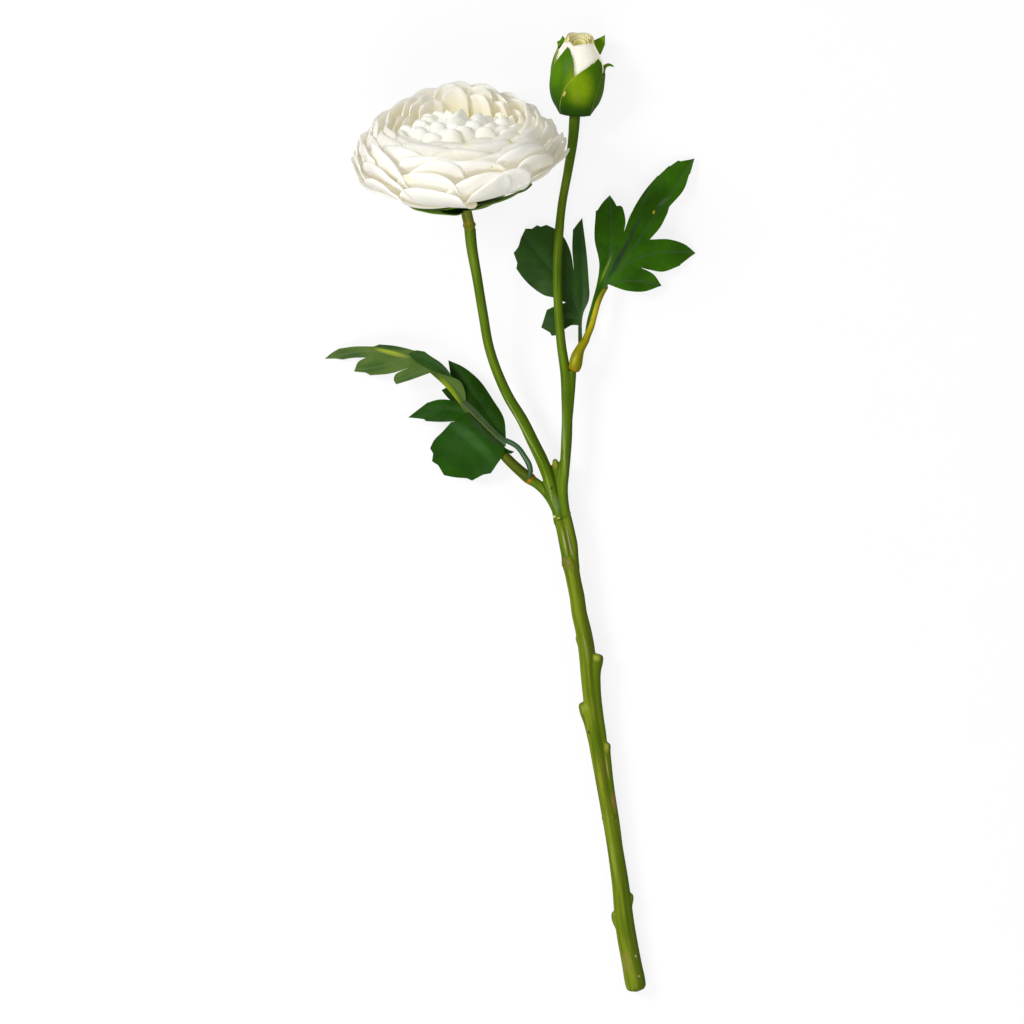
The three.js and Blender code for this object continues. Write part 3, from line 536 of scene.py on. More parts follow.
# Marks a point of an outline as a sharp corner
CORNER = 1
LEAF_TOP = ((0.016, 0.06, 0.001), (0.04, 0.15, 0.001))
LEAF_DEEP = ((0.016, 0.045, 0.009), (0.034, 0.095, 0.01))
LEAF_UNDER = ((0.045, 0.095, 0.014), (0.1, 0.165, 0.03))
LEAF_VEIN = (0.06, 0.1, 0.045)
RIB_YELLOW = (0.34, 0.4, 0.02)
# Each tint on a leaf, some of them painted sheen: its middle, its reach, its turn in degrees, its colour and
# how strong it is
TOP_TINTS_AND_SHEEN = [
    ((46.2, 108, 10), (1.7, 15, 14), -30, (0.022, 0.045, 0.022), 0.9),
    ((52.5, 120, 10), (1.2, 8, 14), -28, (0.03, 0.055, 0.03), 0.7),
    ((40.4, 103, 10), (0.75, 8, 14), -22.7, (0.2, 0.32, 0.03), 0.85),
    ((60.5, 126.8, 12), (0.75, 1.2, 14), -20, (0.55, 0.42, 0.02), 0.95),
    # A grey streak over the long lobe is a painted sheen.
    ((64.8, 131.4, 12), (1.2, 5, 14), -52, (0.1, 0.16, 0.08), 0.6),
    ((57.5, 134, 12), (0.8, 9, 14), -28, (0.07, 0.12, 0.06), 0.5),
]
SMOOTH_TINTS_AND_SHEEN = [
    ((-10.5, 35.5, 9), (14, 3.4, 12), -43, (0.03, 0.055, 0.022), 0.9),
    # These three faint pale streaks make one painted highlight band along the scalloped lobe.
    ((-20.5, 35.5, 9), (9, 3.4, 12), -28, (0.07, 0.17, 0.045), 0.18),
    ((-15.9, 31.2, 9), (10, 3.4, 12), -38, (0.07, 0.17, 0.045), 0.18),
    ((-11, 26.5, 9), (9, 3, 12), -44, (0.07, 0.17, 0.045), 0.18),
]
UNDER_BLUSH = [
    ((-69, 67, 9), (13, 4, 12), -5, (0.03, 0.07, 0.022), 0.9),
    ((-52, 70.3, 9), (12, 1.6, 12), -8, (0.02, 0.055, 0.012), 0.9),
    ((-58, 61.5, 9), (9, 3.4, 12), 8, (0.03, 0.085, 0.012), 0.75),
    ((-44, 56.5, 9), (6, 2.6, 12), 25, (0.035, 0.1, 0.016), 0.75),
    ((-50, 67.6, 9), (9.5, 1.3, 12), -14, RIB_YELLOW, 0.9),
    ((-25.2, 51.6, 9), (10, 2.1, 12), -54, (0.26, 0.35, 0.01), 0.9),
]


def leaf_material(name, shades, vein, gloss=0.4, tints_and_sheen=()):
    """Pressed leaf sheet. The map named rib holds the distances along and across the nearest rib."""
    material, shader, place = new_material(name, Specular_IOR_Level=0.07)
    rib = place.node("UVMap", {}, uv_map="rib")
    split = [rib.node("SeparateXYZ", {0: rib}, output=i) for i in (0, 1)]
    wobble = place.noise(220, detail=2)
    along, across = split[0] * RIB_UNIT, abs(split[1]) * RIB_UNIT
    midrib = 1 - across.step(0.15, 0.75)
    phase = (along - across * 0.85) * 0.2 + wobble * 0.35
    groove = abs(phase.maths("FRACT") - 0.5)
    side_vein = (1 - groove.step(0.0, 0.09)) * (1 - across.step(3.5, 11))
    veins = midrib.maths("MAXIMUM", side_vein * 0.45)
    mottle = place.noise(95, detail=5)
    weave = place.noise(2600, detail=2)
    colour = (mottle * 1.5 + wobble * 0.4 + 0.5).tint(*shades)
    # Some of these tints are painted sheen.
    for middle, reach, heading, stain_or_painted_light, most in tints_and_sheen:
        colour = (place.spot(middle, reach, heading) * most).tint(colour, stain_or_painted_light)
    colour = (veins * 0.4).tint(colour, vein)
    connect(shader, "Base Color", colour)
    connect(shader, "Roughness", mottle * 0.3 + gloss)
    quilt = groove * 2 * (across * 0.22).step(0, 1)
    bump(shader, quilt * 0.5 - veins * 0.35 + weave * 0.3 + mottle * 0.5 + 0.5, 0.5, 0.35)
    return material


leaf_edge, shader, place = new_material("leaf_cut_edge", Roughness=0.6)
connect(shader, "Base Color", place.noise(300).step(-0.3, 0.3).tint((0.14, 0.18, 0.02), (0.26, 0.28, 0.05)))
leaf_top = leaf_material("leaf_top_green", LEAF_TOP, LEAF_VEIN, tints_and_sheen=TOP_TINTS_AND_SHEEN)
leaf_deep = leaf_material("leaf_deep_green", LEAF_DEEP, (0.03, 0.07, 0.025))
leaf_smooth = leaf_material(
    "leaf_smooth_green", ((0.007, 0.034, 0.001), (0.018, 0.084, 0.001)), (0.018, 0.055, 0.005),
    0.42, SMOOTH_TINTS_AND_SHEEN)
leaf_ridge = leaf_material(
    "leaf_ridge_grey", ((0.035, 0.07, 0.02), (0.085, 0.13, 0.05)), (0.1, 0.15, 0.07), 0.5)
leaf_shaded = leaf_material(
    "leaf_shaded_green", ((0.007, 0.027, 0.001), (0.015, 0.06, 0.001)), (0.012, 0.045, 0.006))
leaf_under = leaf_material("leaf_pale_underside", LEAF_UNDER, (0.1, 0.16, 0.05), 0.5, UNDER_BLUSH)


def outline(points):
    """The smooth line through an outline's points, broken at each corner."""
    ends = [i for i, point in enumerate(points) if len(point) > 2]
    ring = points[ends[0]:] + points[:ends[0]] + [points[ends[0]]]
    stretch, line = [ring[0][:2]], []
    for point in ring[1:]:
        stretch.append(point[:2])
        if len(point) > 2:
            length = np.linalg.norm(np.diff(np.array(stretch), axis=0), axis=1).sum()
            count = max(2, int(length / LEAF_STEP) + 1)
            line.extend(smooth_line(stretch, count)[:-1].tolist())
            stretch = [point[:2]]
    return np.array(line)


def inside(places, line):
    """Whether each place is inside the closed line, and how far it is from it."""
    after = np.roll(line, -1, axis=0)
    x, y = places[:, 0][:, None], places[:, 1][:, None]
    spans = (line[:, 1] > y) != (after[:, 1] > y)
    rise = np.where(after[:, 1] == line[:, 1], 1, after[:, 1] - line[:, 1])
    crossing = (after[:, 0] - line[:, 0]) * (y - line[:, 1]) / rise + line[:, 0]
    within = (spans & (x < crossing)).sum(1) % 2 == 1
    away = np.sqrt(((places[:, None, :] - line[None]) ** 2).sum(2)).min(1)
    return within, away


def rib_map(places, ribs):
    """The distance along and across the nearest rib for each place. Also which rib it is."""
    best = np.full(len(places), 1e9)
    found = np.zeros((len(places), 3))
    for number, rib in enumerate(ribs):
        line = smooth_line(rib, 60)
        ways = np.gradient(line, axis=0)
        ways /= np.linalg.norm(ways, axis=1)[:, None]
        reach = np.concatenate([[0], np.cumsum(np.linalg.norm(np.diff(line, axis=0), axis=1))])
        gaps = ((places[:, None, :] - line[None]) ** 2).sum(2)
        near = gaps.argmin(1)
        offset = places - line[near]
        along = reach[near] + (offset * ways[near]).sum(1)
        across = offset[:, 1] * ways[near, 0] - offset[:, 0] * ways[near, 1]
        closer = gaps.min(1) < best
        best[closer] = gaps.min(1)[closer]
        found[closer] = np.stack([along, across, np.full(len(places), number)], axis=1)[closer]
    return found


def bent(root, heading, rise=0.0, sag=0.0, tilt=0.0, cup=0.0, stem=0.0):
    """The height of a leaf that rises and sags along its heading from root, and tilts and cups across it."""
    east, north = math.cos(math.radians(heading)), math.sin(math.radians(heading))

    def height(x, y):
        reach = (x - root[0]) * east + (y - root[1]) * north
        side = (y - root[1]) * east - (x - root[0]) * north
        along = np.where(reach < 0, stem * reach, rise * reach - sag * reach * reach)
        return root[2] + along + tilt * side - cup * side * side

    return height


def blade(name, points, height, ribs, waves=0.35, crease=0.7, arch=0.012):
    """A thin cut leaf inside an outline, bent to height(x, y), with its ribs pressed in.

    Its mesh is laid inside the outline, because no primitive has a cut leaf's edge.
    """
    line = outline(points)
    low, high = line.min(0), line.max(0)
    rows = np.arange(low[1], high[1], LEAF_STEP * LEAF_ROW_GAP)
    grid = np.array([(x + (row % 2) * LEAF_STEP / 2, y) for row, y in enumerate(rows)
                     for x in np.arange(low[0], high[0], LEAF_STEP)])
    within, away = inside(grid, line)
    inner = grid[within & (away > LEAF_MARGIN * LEAF_STEP)]
    flat = np.concatenate([line, inner])
    edges = [(i, (i + 1) % len(line)) for i in range(len(line))]
    cut = delaunay_2d_cdt([Vector(p) for p in flat], edges, [], 1, 1e-5)
    places = np.array([tuple(p) for p in cut[0]])
    faces = [tuple(face) for face in cut[2]]
    mapped = rib_map(places, ribs)
    spread = np.clip(np.abs(mapped[:, 1]) / RIPPLE_REACH, 0, 1) ** 1.5
    ripple = waves * np.sin(mapped[:, 0] * RIPPLE_PACE + mapped[:, 2]) * spread
    fold = crease * np.exp(-(mapped[:, 1] / CREASE_WIDTH) ** 2)
    drop = arch * np.minimum(np.abs(mapped[:, 1]), ARCH_REACH) ** 2
    heights = np.maximum(height(places[:, 0], places[:, 1]) + ripple - fold - drop, LEAF_FLOOR)
    mesh = bpy.data.meshes.new(name)
    mesh.from_pydata((np.column_stack([places, heights]) * MM).tolist(), [], faces)
    piece = bpy.data.objects.new(name, mesh)
    bpy.context.scene.collection.objects.link(piece)
    rib_layer = mesh.uv_layers.new(name="rib")
    middles = rib_map(np.array([places[list(f)].mean(0) for f in faces]), ribs)[:, 2].astype(int)
    corner_maps = [rib_map(places, [rib]) for rib in ribs]
    for polygon, number in zip(mesh.polygons, middles):
        for corner in polygon.loop_indices:
            spot = corner_maps[number][mesh.loops[corner].vertex_index]
            rib_layer.data[corner].uv = (spot[0] / RIB_UNIT, spot[1] / RIB_UNIT)
    return piece


def leaf(name, node, blades):
    """Finishes blades, each (piece, upper material, lower material), as the leaf that stands for a node."""
    for piece, upper, lower in blades:
        for material in (upper, lower, leaf_edge):
            piece.data.materials.append(material)
        apply(piece, "SOLIDIFY", thickness=LEAF_THICKNESS * MM, offset=0, material_offset=1,
              material_offset_rim=2)
        bpy.ops.object.shade_smooth_by_angle(angle=math.radians(LEAF_SHARPEST))
    whole = joined(name, [piece for piece, _, _ in blades])
    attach(whole, "root")
    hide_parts(node)


RIGHT_UPPER = [
    (31.1, 72.5, CORNER), (32.3, 80.4), (34.4, 88.4), (36.5, 96.4), (37.6, 104.8), (35.7, 115.1),
    (36.2, 127.4, CORNER), (36.9, 127.6, CORNER), (39.3, 131.2), (42.1, 134, CORNER), (44.3, 130.6),
    (44.9, 129.4, CORNER), (46.6, 129.5), (48.2, 126), (48.6, 122.4), (47.9, 118.4, CORNER), (51, 126.2),
    (57.2, 136.4), (62.2, 142.2, CORNER), (62.6, 142.2, CORNER), (66.9, 146.3, CORNER),
    (67.4, 146.2, CORNER), (70.8, 148.6, CORNER), (71.9, 148.3, CORNER), (77.7, 149.5, CORNER),
    (75.9, 143.2, CORNER), (75.4, 142.7, CORNER), (73.6, 137.2), (67, 129, CORNER), (66.2, 126.3, CORNER),
    (63.4, 120.8), (58.8, 115.3, CORNER), (67.6, 115.3), (73.9, 113.2), (78.1, 109.8, CORNER),
    (71.9, 105.1, CORNER), (71.4, 104.4, CORNER), (63.8, 101.8), (58.4, 102.7), (55, 103.5, CORNER),
    (60.5, 100.6), (63.8, 96, CORNER), (56.3, 93.5), (48.7, 93.9), (41.4, 96.4, CORNER), (37.8, 90.9),
    (34.9, 84.6), (33.8, 79.2), (32.9, 72.5, CORNER),
]
RIGHT_UPPER_RIBS = [
    [(31.5, 72.5), (34, 83), (38.5, 93), (45, 102), (52, 112), (60, 124), (69, 137), (77.7, 149.7)],
    [(39, 94), (41, 104), (42.5, 114), (42.8, 124), (42, 133.8)],
    [(44, 101), (52, 106.5), (61, 109.5), (70, 110.3), (78.1, 109.8)],
    [(40, 95.5), (46, 97.5), (53, 98), (63.8, 96)],
]
RIGHT_LOWER = [
    (28.7, 71.6, CORNER), (28.7, 79.3, CORNER), (25.6, 79.2), (23.5, 77.9, CORNER), (19.2, 75, CORNER),
    (17.6, 74.8, CORNER), (16.8, 76.2, CORNER), (13.2, 78.3, CORNER), (14.3, 81.9), (15.5, 85.7, CORNER),
    (18.5, 87.1), (23.5, 88.8, CORNER), (18.5, 90.9), (14.7, 91.8), (10.1, 94.7), (5.9, 98.7),
    (2.7, 103.1, CORNER), (3.1, 105.6, CORNER), (1.6, 109.8, CORNER), (3.5, 112.3), (4.5, 115.7),
    (6.6, 120, CORNER), (9.2, 119.9, CORNER), (11.3, 121.4, CORNER), (13, 120.8, CORNER),
    (15.4, 121.6, CORNER), (18.8, 119.9), (22.3, 116.8), (25.2, 111.1), (26.9, 102.3, CORNER),
    (26.2, 112.3), (26.5, 119.5, CORNER), (30.4, 124.5, CORNER), (31.2, 118.2), (32.3, 109),
    (33.5, 93, CORNER), (33.2, 90.1), (30.9, 84.6), (30.3, 71.6, CORNER),
]
RIGHT_LOWER_RIBS = [
    [(29.6, 72), (29.8, 82), (30.6, 92), (30.2, 106), (30.2, 124.5)],
    [(29.6, 83), (25, 93), (18, 102), (11, 110), (6, 117)],
    [(29, 82), (23, 82), (14, 80)],
]
upper = blade("right_upper", RIGHT_UPPER, bent((36.5, 96.4, 9.4), 52, 0.06, 0.0024, cup=0.012, stem=-0.14),
              RIGHT_UPPER_RIBS)
leaf("right_leaf_upper_blade", "right_leaf_upper", [(upper, leaf_top, leaf_under)])
lower = blade("right_lower", RIGHT_LOWER, bent((30.5, 84.6, 6.6), 121, -0.07, cup=0.004, stem=-0.3),
              RIGHT_LOWER_RIBS)
leaf("right_leaf_lower_blade", "right_leaf_lower", [(lower, leaf_deep, leaf_under)])

LEFT_SCALLOPED = [
    (-2.1, 30.9, CORNER), (-17.2, 43.1, CORNER), (-20.6, 39.5), (-24.8, 38.4, CORNER), (-28.6, 34.2),
    (-31.9, 30.9), (-33.6, 27.5, CORNER), (-32.3, 25.4, CORNER), (-32.8, 22.1, CORNER),
    (-30.2, 20.4, CORNER), (-27.7, 16.2, CORNER), (-23.1, 15.3), (-18.1, 14.9, CORNER),
    (-15.9, 13.9, CORNER), (-11.3, 16.4, CORNER), (-8, 17, CORNER), (-6.3, 19.5, CORNER), (-2.5, 25.8),
]
LEFT_POINTED = [
    (-42.8, 40.5, CORNER), (-36.1, 39.7, CORNER), (-35.4, 38.9, CORNER), (-29.4, 38.6),
    (-20.2, 38.9, CORNER), (-12.6, 34.2), (-7.6, 34.2, CORNER), (-11.3, 38.9), (-18.1, 44.3, CORNER),
    (-25.2, 47.7), (-30.2, 47.9), (-34.9, 46.6, CORNER), (-38.4, 43.9),
]
LEFT_BEHIND = [
    (-26, 64.5, CORNER), (-25.2, 59.4), (-24.4, 52.7, CORNER), (-27.1, 52.9, CORNER),
    (-28.8, 51.9, CORNER), (-26, 48.5), (-23.1, 46), (-18.1, 43.5, CORNER), (-12.6, 36.4), (-7.6, 32.2),
    (-1.7, 31.7, CORNER), (-2.5, 39.7), (-7.1, 47.7), (-13, 56.1), (-21, 62.4),
]
LEFT_TWIST = [
    (-15.8, 42.6, CORNER), (-18.1, 45.6), (-18.9, 51), (-21, 55.6), (-23.9, 57.3, CORNER), (-29, 60.8),
    (-34.3, 59.8, CORNER), (-27.3, 53.5), (-21.8, 46.8), (-18.6, 42.6, CORNER),
]
LEFT_FAR = [
    (-78.1, 65.2, CORNER), (-73.5, 65.3, CORNER), (-70.6, 64.9, CORNER), (-66.8, 65.5),
    (-60.5, 65.7, CORNER), (-63.9, 63.8), (-65.6, 59.8, CORNER), (-60.9, 59.4, CORNER),
    (-58.8, 58.2, CORNER), (-51.2, 58.8), (-42.4, 61.3, CORNER), (-46.2, 59.8), (-48.5, 58.2),
    (-48.9, 56.1), (-47.9, 54.4, CORNER), (-41.2, 56.5), (-33.2, 59.4, CORNER), (-26, 57.6, CORNER),
    (-33.2, 65.5), (-39.9, 68.4), (-48.7, 70.6), (-55, 71.2, CORNER), (-57.5, 70.3, CORNER), (-65.9, 70.3),
    (-71.8, 69.5, CORNER), (-74.3, 68.2),
]
LEFT_FOLDED = [
    (-23.9, 56.9, CORNER), (-26.5, 60.7), (-29.4, 63.6), (-33.2, 66.1), (-36.1, 68.2, CORNER),
    (-40.3, 68.5), (-42.8, 67, CORNER), (-41.2, 65.1), (-33.2, 60.3),
]
LEFT_STRAP = [
    (-4.5, 31.6, 9.9, 0.7), (-1.7, 30.7, 10.4, 0.85), (3.2, 27.9, 12.4, 0.85), (6, 24.1, 13.6, 0.9),
    (8.2, 19.9, 14.1, 0.95), (8.6, 17.4, 14.2, 0.85), (7.5, 14.5, 13.8, 0.5),
]
LEFT_RIDGE = [
    (-18.6, 47.6, CORNER), (-15.6, 45), (-10.2, 39.2), (-4.5, 33.6), (-1.5, 31.4, CORNER),
    (-1.8, 28.2, CORNER), (-4.6, 30.6), (-11, 37), (-16.6, 42.4), (-20.4, 45.9, CORNER),
]
LEFT_SPUR = [
    (-2.8, 28.2, CORNER), (-0.9, 27), (1.9, 26, CORNER), (0.4, 25.1, CORNER), (-1.8, 25.7),
    (-3.4, 26.4, CORNER),
]
MAIN_RIB = [[(-1.5, 29), (-6, 32), (-12, 37.5), (-20, 46)]]
FAR_RIBS = [
    [(-26, 58.5), (-36, 64), (-48, 67), (-62, 68.3), (-78.1, 65.2)],
    [(-44, 65.5), (-54, 62), (-65.6, 60.5)],
    [(-33, 61.5), (-40, 59), (-48, 55.5)],
]
LEFT_ROOT = (-2.1, 30.9, 9.8)
# Each blade of the left leaf: outline, bend, ribs, upper and lower materials, and how its pressing differs
LEFT_BLADES = [
    (LEFT_SCALLOPED, bent(LEFT_ROOT, 140, -0.01, tilt=0.12, cup=0.0155), MAIN_RIB,
     leaf_smooth, leaf_under, {"arch": 0.004}),
    (LEFT_POINTED, bent(LEFT_ROOT, 140, -0.02, tilt=0.1, cup=0.0155),
     [[(-6, 35), (-16, 41), (-28, 43.5), (-42.8, 40.5)]], leaf_smooth, leaf_under, {}),
    (LEFT_BEHIND, bent(LEFT_ROOT, 140, 0.01, 0.002, tilt=0.15, cup=0.002),
     [[(-2.5, 32), (-9, 41), (-17, 52), (-26, 64.5)]], leaf_shaded, leaf_under, {}),
    (LEFT_TWIST, bent((-15.1, 40.9, 9.7), 128, 0.03, tilt=0.12),
     [[(-15, 40.5), (-20, 49), (-25, 55), (-31, 60)]], leaf_under, leaf_top, {}),
    (LEFT_FAR, bent((-28, 59, 10.3), 172, -0.05, 0.0031), FAR_RIBS, leaf_under, leaf_top, {}),
    (LEFT_RIDGE, bent(LEFT_ROOT, 140, -0.01, tilt=0.1, cup=0.03), MAIN_RIB,
     leaf_ridge, leaf_under, {"waves": 0, "crease": -0.9, "arch": 0.02}),
    (LEFT_SPUR, bent((-1, 27, 8.6), -30), [[(-3, 27), (1.9, 26)]],
     leaf_shaded, leaf_under, {"waves": 0, "crease": 0, "arch": 0.02}),
    (LEFT_FOLDED, bent((-24, 57, 11), 150, sag=0.0035), [[(-24, 57.5), (-32, 63), (-42, 67.5)]],
     leaf_deep, leaf_under, {}),
]
leaf("left_leaf_blade", "left_leaf", [
    (blade("left_blade", points, height, ribs, **shape), above, below)
    for points, height, ribs, above, below, shape in LEFT_BLADES])


def strap_section(angle, reach):
    """The strap is a little flatter than it is wide."""
    return 1 - 0.25 * np.cos(2 * angle)


strap_green = stem_material("strap_green", (0.045, 0.11, 0.05), (0.02, 0.06, 0.02))
strap = cast_alone("left_leaf_strap", LEFT_STRAP, strap_green, sides=16, step=0.5, cap=0.7,
                   section=strap_section)
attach(strap, "root")

# Bloom
# A dense round head of cut and pressed petals, threaded on the receptacle in rows: broad cupped guard petals
# outside, then petals that lean in over the wall, tall ones at the back, and a heart of small thick petals.
BLOOM_TILT = 22
BLOOM_LEAN = 3.2
BLOOM_BASE = (-19.7, 126.6, 31.4)
BLOOM_RADIUS = 46.5
PETAL_THICKNESS = 0.4
PETAL_OVERLAP = 0.9
PETAL_WHITE = (0.875, 0.855, 0.775)
PETAL_CREAM = (0.86, 0.81, 0.6)
PETAL_YELLOW = (0.66, 0.6, 0.2)
# Each guard and wall petal: its direction and half width in degrees (-90 is towards the viewer), the height
# of its tip at the left, the middle and the right, the tip's radius and its outward lean in degrees
GUARD_PETALS = [
    (-180, 20, 24, 26, 24, 44.8, 10), (-141, 16.5, 24.4, 26, 22.8, 45.5, 14),
    (-106.8, 18.8, 25, 26.9, 24, 45.3, 8), (-69, 19.2, 22.5, 31.8, 30.5, 45.3, 2),
    (-23, 28, 27, 27.2, 26.7, 45.9, 45), (35, 28, 23, 26, 24, 45, 20), (85, 27, 24.5, 27, 24.5, 42.4, 20),
    (135, 27, 23, 26, 23, 44.6, 20),
]
WALL_PETALS = [
    (-138, 19, 31, 32.4, 26, 44.6, 8), (-111, 19, 29, 34, 29, 44, -4), (-80, 19, 26.5, 32.4, 32, 44.5, -4),
    (-44, 16, 30.5, 35.5, 31.5, 44.6, -4), (-8, 20, 29.5, 31, 28.5, 44.2, -8), (30, 22, 27, 29, 27, 44, -8),
    (70, 22, 27, 29, 27, 43, -8), (110, 22, 27, 29, 27, 43, -8), (150, 22, 27, 29, 27, 44, -8),
    (184, 18, 28, 29.5, 30, 44, -8),
]
WALL_INNER_PETALS = [
    (-134, 15, 43, 38.5, 31, 43, -12), (-107, 18, 31, 38.4, 37, 42.6, -24),
    (-82, 17, 38, 38.6, 34, 42.8, -24), (-52, 20, 35, 40.5, 37, 42.6, -20), (-16, 21, 34, 35, 32, 42.4, -18),
    (22, 21, 31, 32, 31, 42, -18), (60, 21, 31, 33, 31, 42, -18), (98, 21, 31, 33, 31, 42, -18),
    (136, 21, 31, 33, 31, 42, -18), (172, 19, 31, 33, 33, 42, -18), (-160, 15, 35, 37, 35, 42.4, -14),
]
# Each inner row from the outside in: petals, half width in degrees, the tips' radius, their height at the
# front, the sides and the back, their outward lean in degrees at the same places, the turn of the first
# petal, and how far round towards the viewer the row runs: -1 is all the way and 0 stops at the sides
RIM_ROWS = [
    (9, 23, 40.4, (40.3, 34, 34.5), (-40, -32, -20), 11, -1),
    (9, 23, 37, (42, 38.2, 39.3), (-54, -36, -20), 31, -1),
    (9, 24, 33.4, (42.4, 41.2, 43), (-66, -38, -18), 7, -1),
]
CROWN_ROWS = [
    (9, 24, 29.8, (41.8, 42.6, 46), (-72, -36, -14), 28, -1),
    (9, 25, 26, (41, 41, 47.8), (-68, -30, -11), 12, -1),
    (11, 19, 22.2, (39, 40.5, 49.8), (-60, -22, -8), 33, -0.15),
    (10, 20, 18.4, (36, 39.5, 49), (-40, -12, -5), 20, 0.3),
]
RIM_DEPTH = 3
CROWN_DEPTH = 6
PETAL_GRID = 20
HEART_PETALS = 42
HEART_THICKNESS = 0.7
HEART_MIDDLE = (-3, -7)
HEART_SPREAD = 3.32
HEART_HALF_WIDTH = 6.3
HEART_FLOOR = 27
HEART_TOP = 44.6
GOLDEN_ANGLE = 137.5
HEART_SEAT = [(0.5, 8), (20, 16), (30, 21), (31, 25), (26, 28), (18, 29.5), (0.5, 30)]
TURNED_STEPS = 39
# Each spot on the petals: its middle, its reach and its colour
OUTER_SPOTS = [
    ((-42.8, 140.1, 77), (1.8, 0.8, 7), (0.8, 0.75, 0.2)),
    ((-41, 138.5, 77), (3.5, 1.8, 7), (0.88, 0.83, 0.5)),
    ((-7.6, 143.9, 80), (0.9, 0.9, 8), (0.45, 0.25, 0.03)),
    ((-6, 143.4, 80), (3, 1.6, 8), (0.88, 0.8, 0.5)),
    ((-57.5, 149, 66), (1.6, 5.5, 9), (0.78, 0.68, 0.48)),
    ((-3, 143, 80), (2, 3, 8), (0.88, 0.82, 0.55)),
    ((-26, 136.4, 78), (1.6, 0.9, 7), (0.8, 0.75, 0.3)),
    ((-18, 153.6, 78), (2.4, 1.2, 7), (0.84, 0.79, 0.3)),
    ((0.5, 154.8, 72), (1.8, 1.2, 8), (0.84, 0.79, 0.3)),
    ((4.2, 158.5, 68), (1.4, 1.4, 8), (0.84, 0.8, 0.34)),
    ((-22, 146, 78), (22, 12, 9), (0.86, 0.81, 0.68)),
    # The last two are painted shade: greyer cream patches that darken the bloom's right and left sides.
    ((17, 146, 55), (15, 22, 40), (0.62, 0.59, 0.46)),
    ((-62, 146, 55), (9, 22, 40), (0.79, 0.765, 0.68)),
]
INNER_SPOTS = [
    ((-18, 153.6, 78), (2.6, 1.5, 7), (0.86, 0.82, 0.35)),
    ((1, 155.6, 70), (1.8, 1.6, 8), (0.86, 0.82, 0.35)),
    ((4.2, 158.5, 66), (1.4, 1.4, 8), (0.86, 0.82, 0.38)),
    ((9.5, 161.6, 60), (0.7, 2.4, 8), (0.5, 0.36, 0.1)),
]
rng = np.random.default_rng(7)


def stand(base, tilt, lean):
    """A flower head's place: its axis tilt degrees over the table, leaning lean degrees to the left."""
    turn = Matrix.Rotation(math.radians(lean), 4, "Z") @ Matrix.Rotation(math.radians(tilt - 90), 4, "X")
    return Matrix.Translation(base) @ turn


def bezier(points, t):
    """Points on a cubic curve."""
    weights = ((1 - t) ** 3, 3 * t * (1 - t) ** 2, 3 * t * t * (1 - t), t ** 3)
    return [sum(w * p[axis] for w, p in zip(weights, points)) for axis in (0, 1)]


def bloom_petal(depth, heading, reach, left, middle, right, tip_radius, lean, rounding=0.12):
    """A bloom petal's middle surface. depth is 0 at the outermost row, and v runs from root to tip."""
    angle = math.radians(heading + 2 * rng.uniform(-1, 1))
    half_width = tip_radius * math.radians(reach)
    tip_radius = tip_radius + 0.25 * rng.uniform(-1, 1)
    lean = math.radians(lean + 3 * rng.uniform(-1, 1))
    phase, curl = rng.uniform(0, 6, 2)
    root_height = 5 + 0.6 * depth
    arm = min(6.5 + 0.25 * middle, (BLOOM_RADIUS - tip_radius) / max(-math.sin(lean), 0.04))
    profile = [
        (4, root_height),
        (10 + 1.2 * depth, root_height + 3.4 + 4.1 * min(depth, 1)),
        (tip_radius - arm * math.sin(lean), middle - arm * math.cos(lean)),
        (tip_radius, middle),
    ]

    def at(u, v):
        corner = rounding * half_width * (1 - (1 - np.abs(u) ** 3) ** (1 / 3))
        tip = middle + (right - left) / 2 * u + ((right + left) / 2 - middle) * u * u - corner
        r, h = bezier(profile, v)
        h = root_height + (h - root_height) * (1 + (tip - middle) / (middle - root_height) * v)
        width = half_width * np.sin(np.minimum(1, 0.25 + v) * np.pi / 2) * (1 - 0.06 * v ** 8)
        bend = np.maximum(0.93 * r, 7)
        turn = u * width / bend
        ruffle = v ** 6 * (np.sin(4.2 * u + phase) * (0.3 + rounding) + np.sin(9 * u + curl) * 0.12)
        radius = r - bend * (1 - np.cos(turn)) + PETAL_OVERLAP * u + ruffle
        side = bend * np.sin(turn)
        h = h + v ** 5 * np.sin(3.3 * u + curl) * 0.45
        return (radius * math.cos(angle) - side * math.sin(angle),
                radius * math.sin(angle) + side * math.cos(angle), h)

    return at


def row_petal(depth, index, row):
    """A petal of an inner row, which leans in low at the front and stands tall at the back."""
    count, reach, radius, heights, leans, turn, _ = row
    heading = 360 / count * index + turn
    facing = math.sin(math.radians(heading))
    shares = (max(0, -facing) ** 2, 1 - facing ** 2, max(0, facing) ** 2)
    height = sum(share * value for share, value in zip(shares, heights)) + 0.5 * rng.uniform(-1, 1)
    lean = sum(share * value for share, value in zip(shares, leans))
    edge = height - 1.2 - 1.5 * shares[2]
    return bloom_petal(depth, heading, reach * (1 - 0.12 * shares[2]), edge, height, edge, radius, lean, 0.3)


def inner_petals(first_depth, rows):
    """The petals of the inner rows, without those that a row leaves out towards the viewer."""
    petals = []
    for depth, row in enumerate(rows, first_depth):
        count, turn, end = row[0], row[5], row[6]
        for index in range(count):
            petal = row_petal(depth, index, row)
            if math.sin(math.radians(360 / count * index + turn)) >= end:
                petals.append(petal)
    return petals


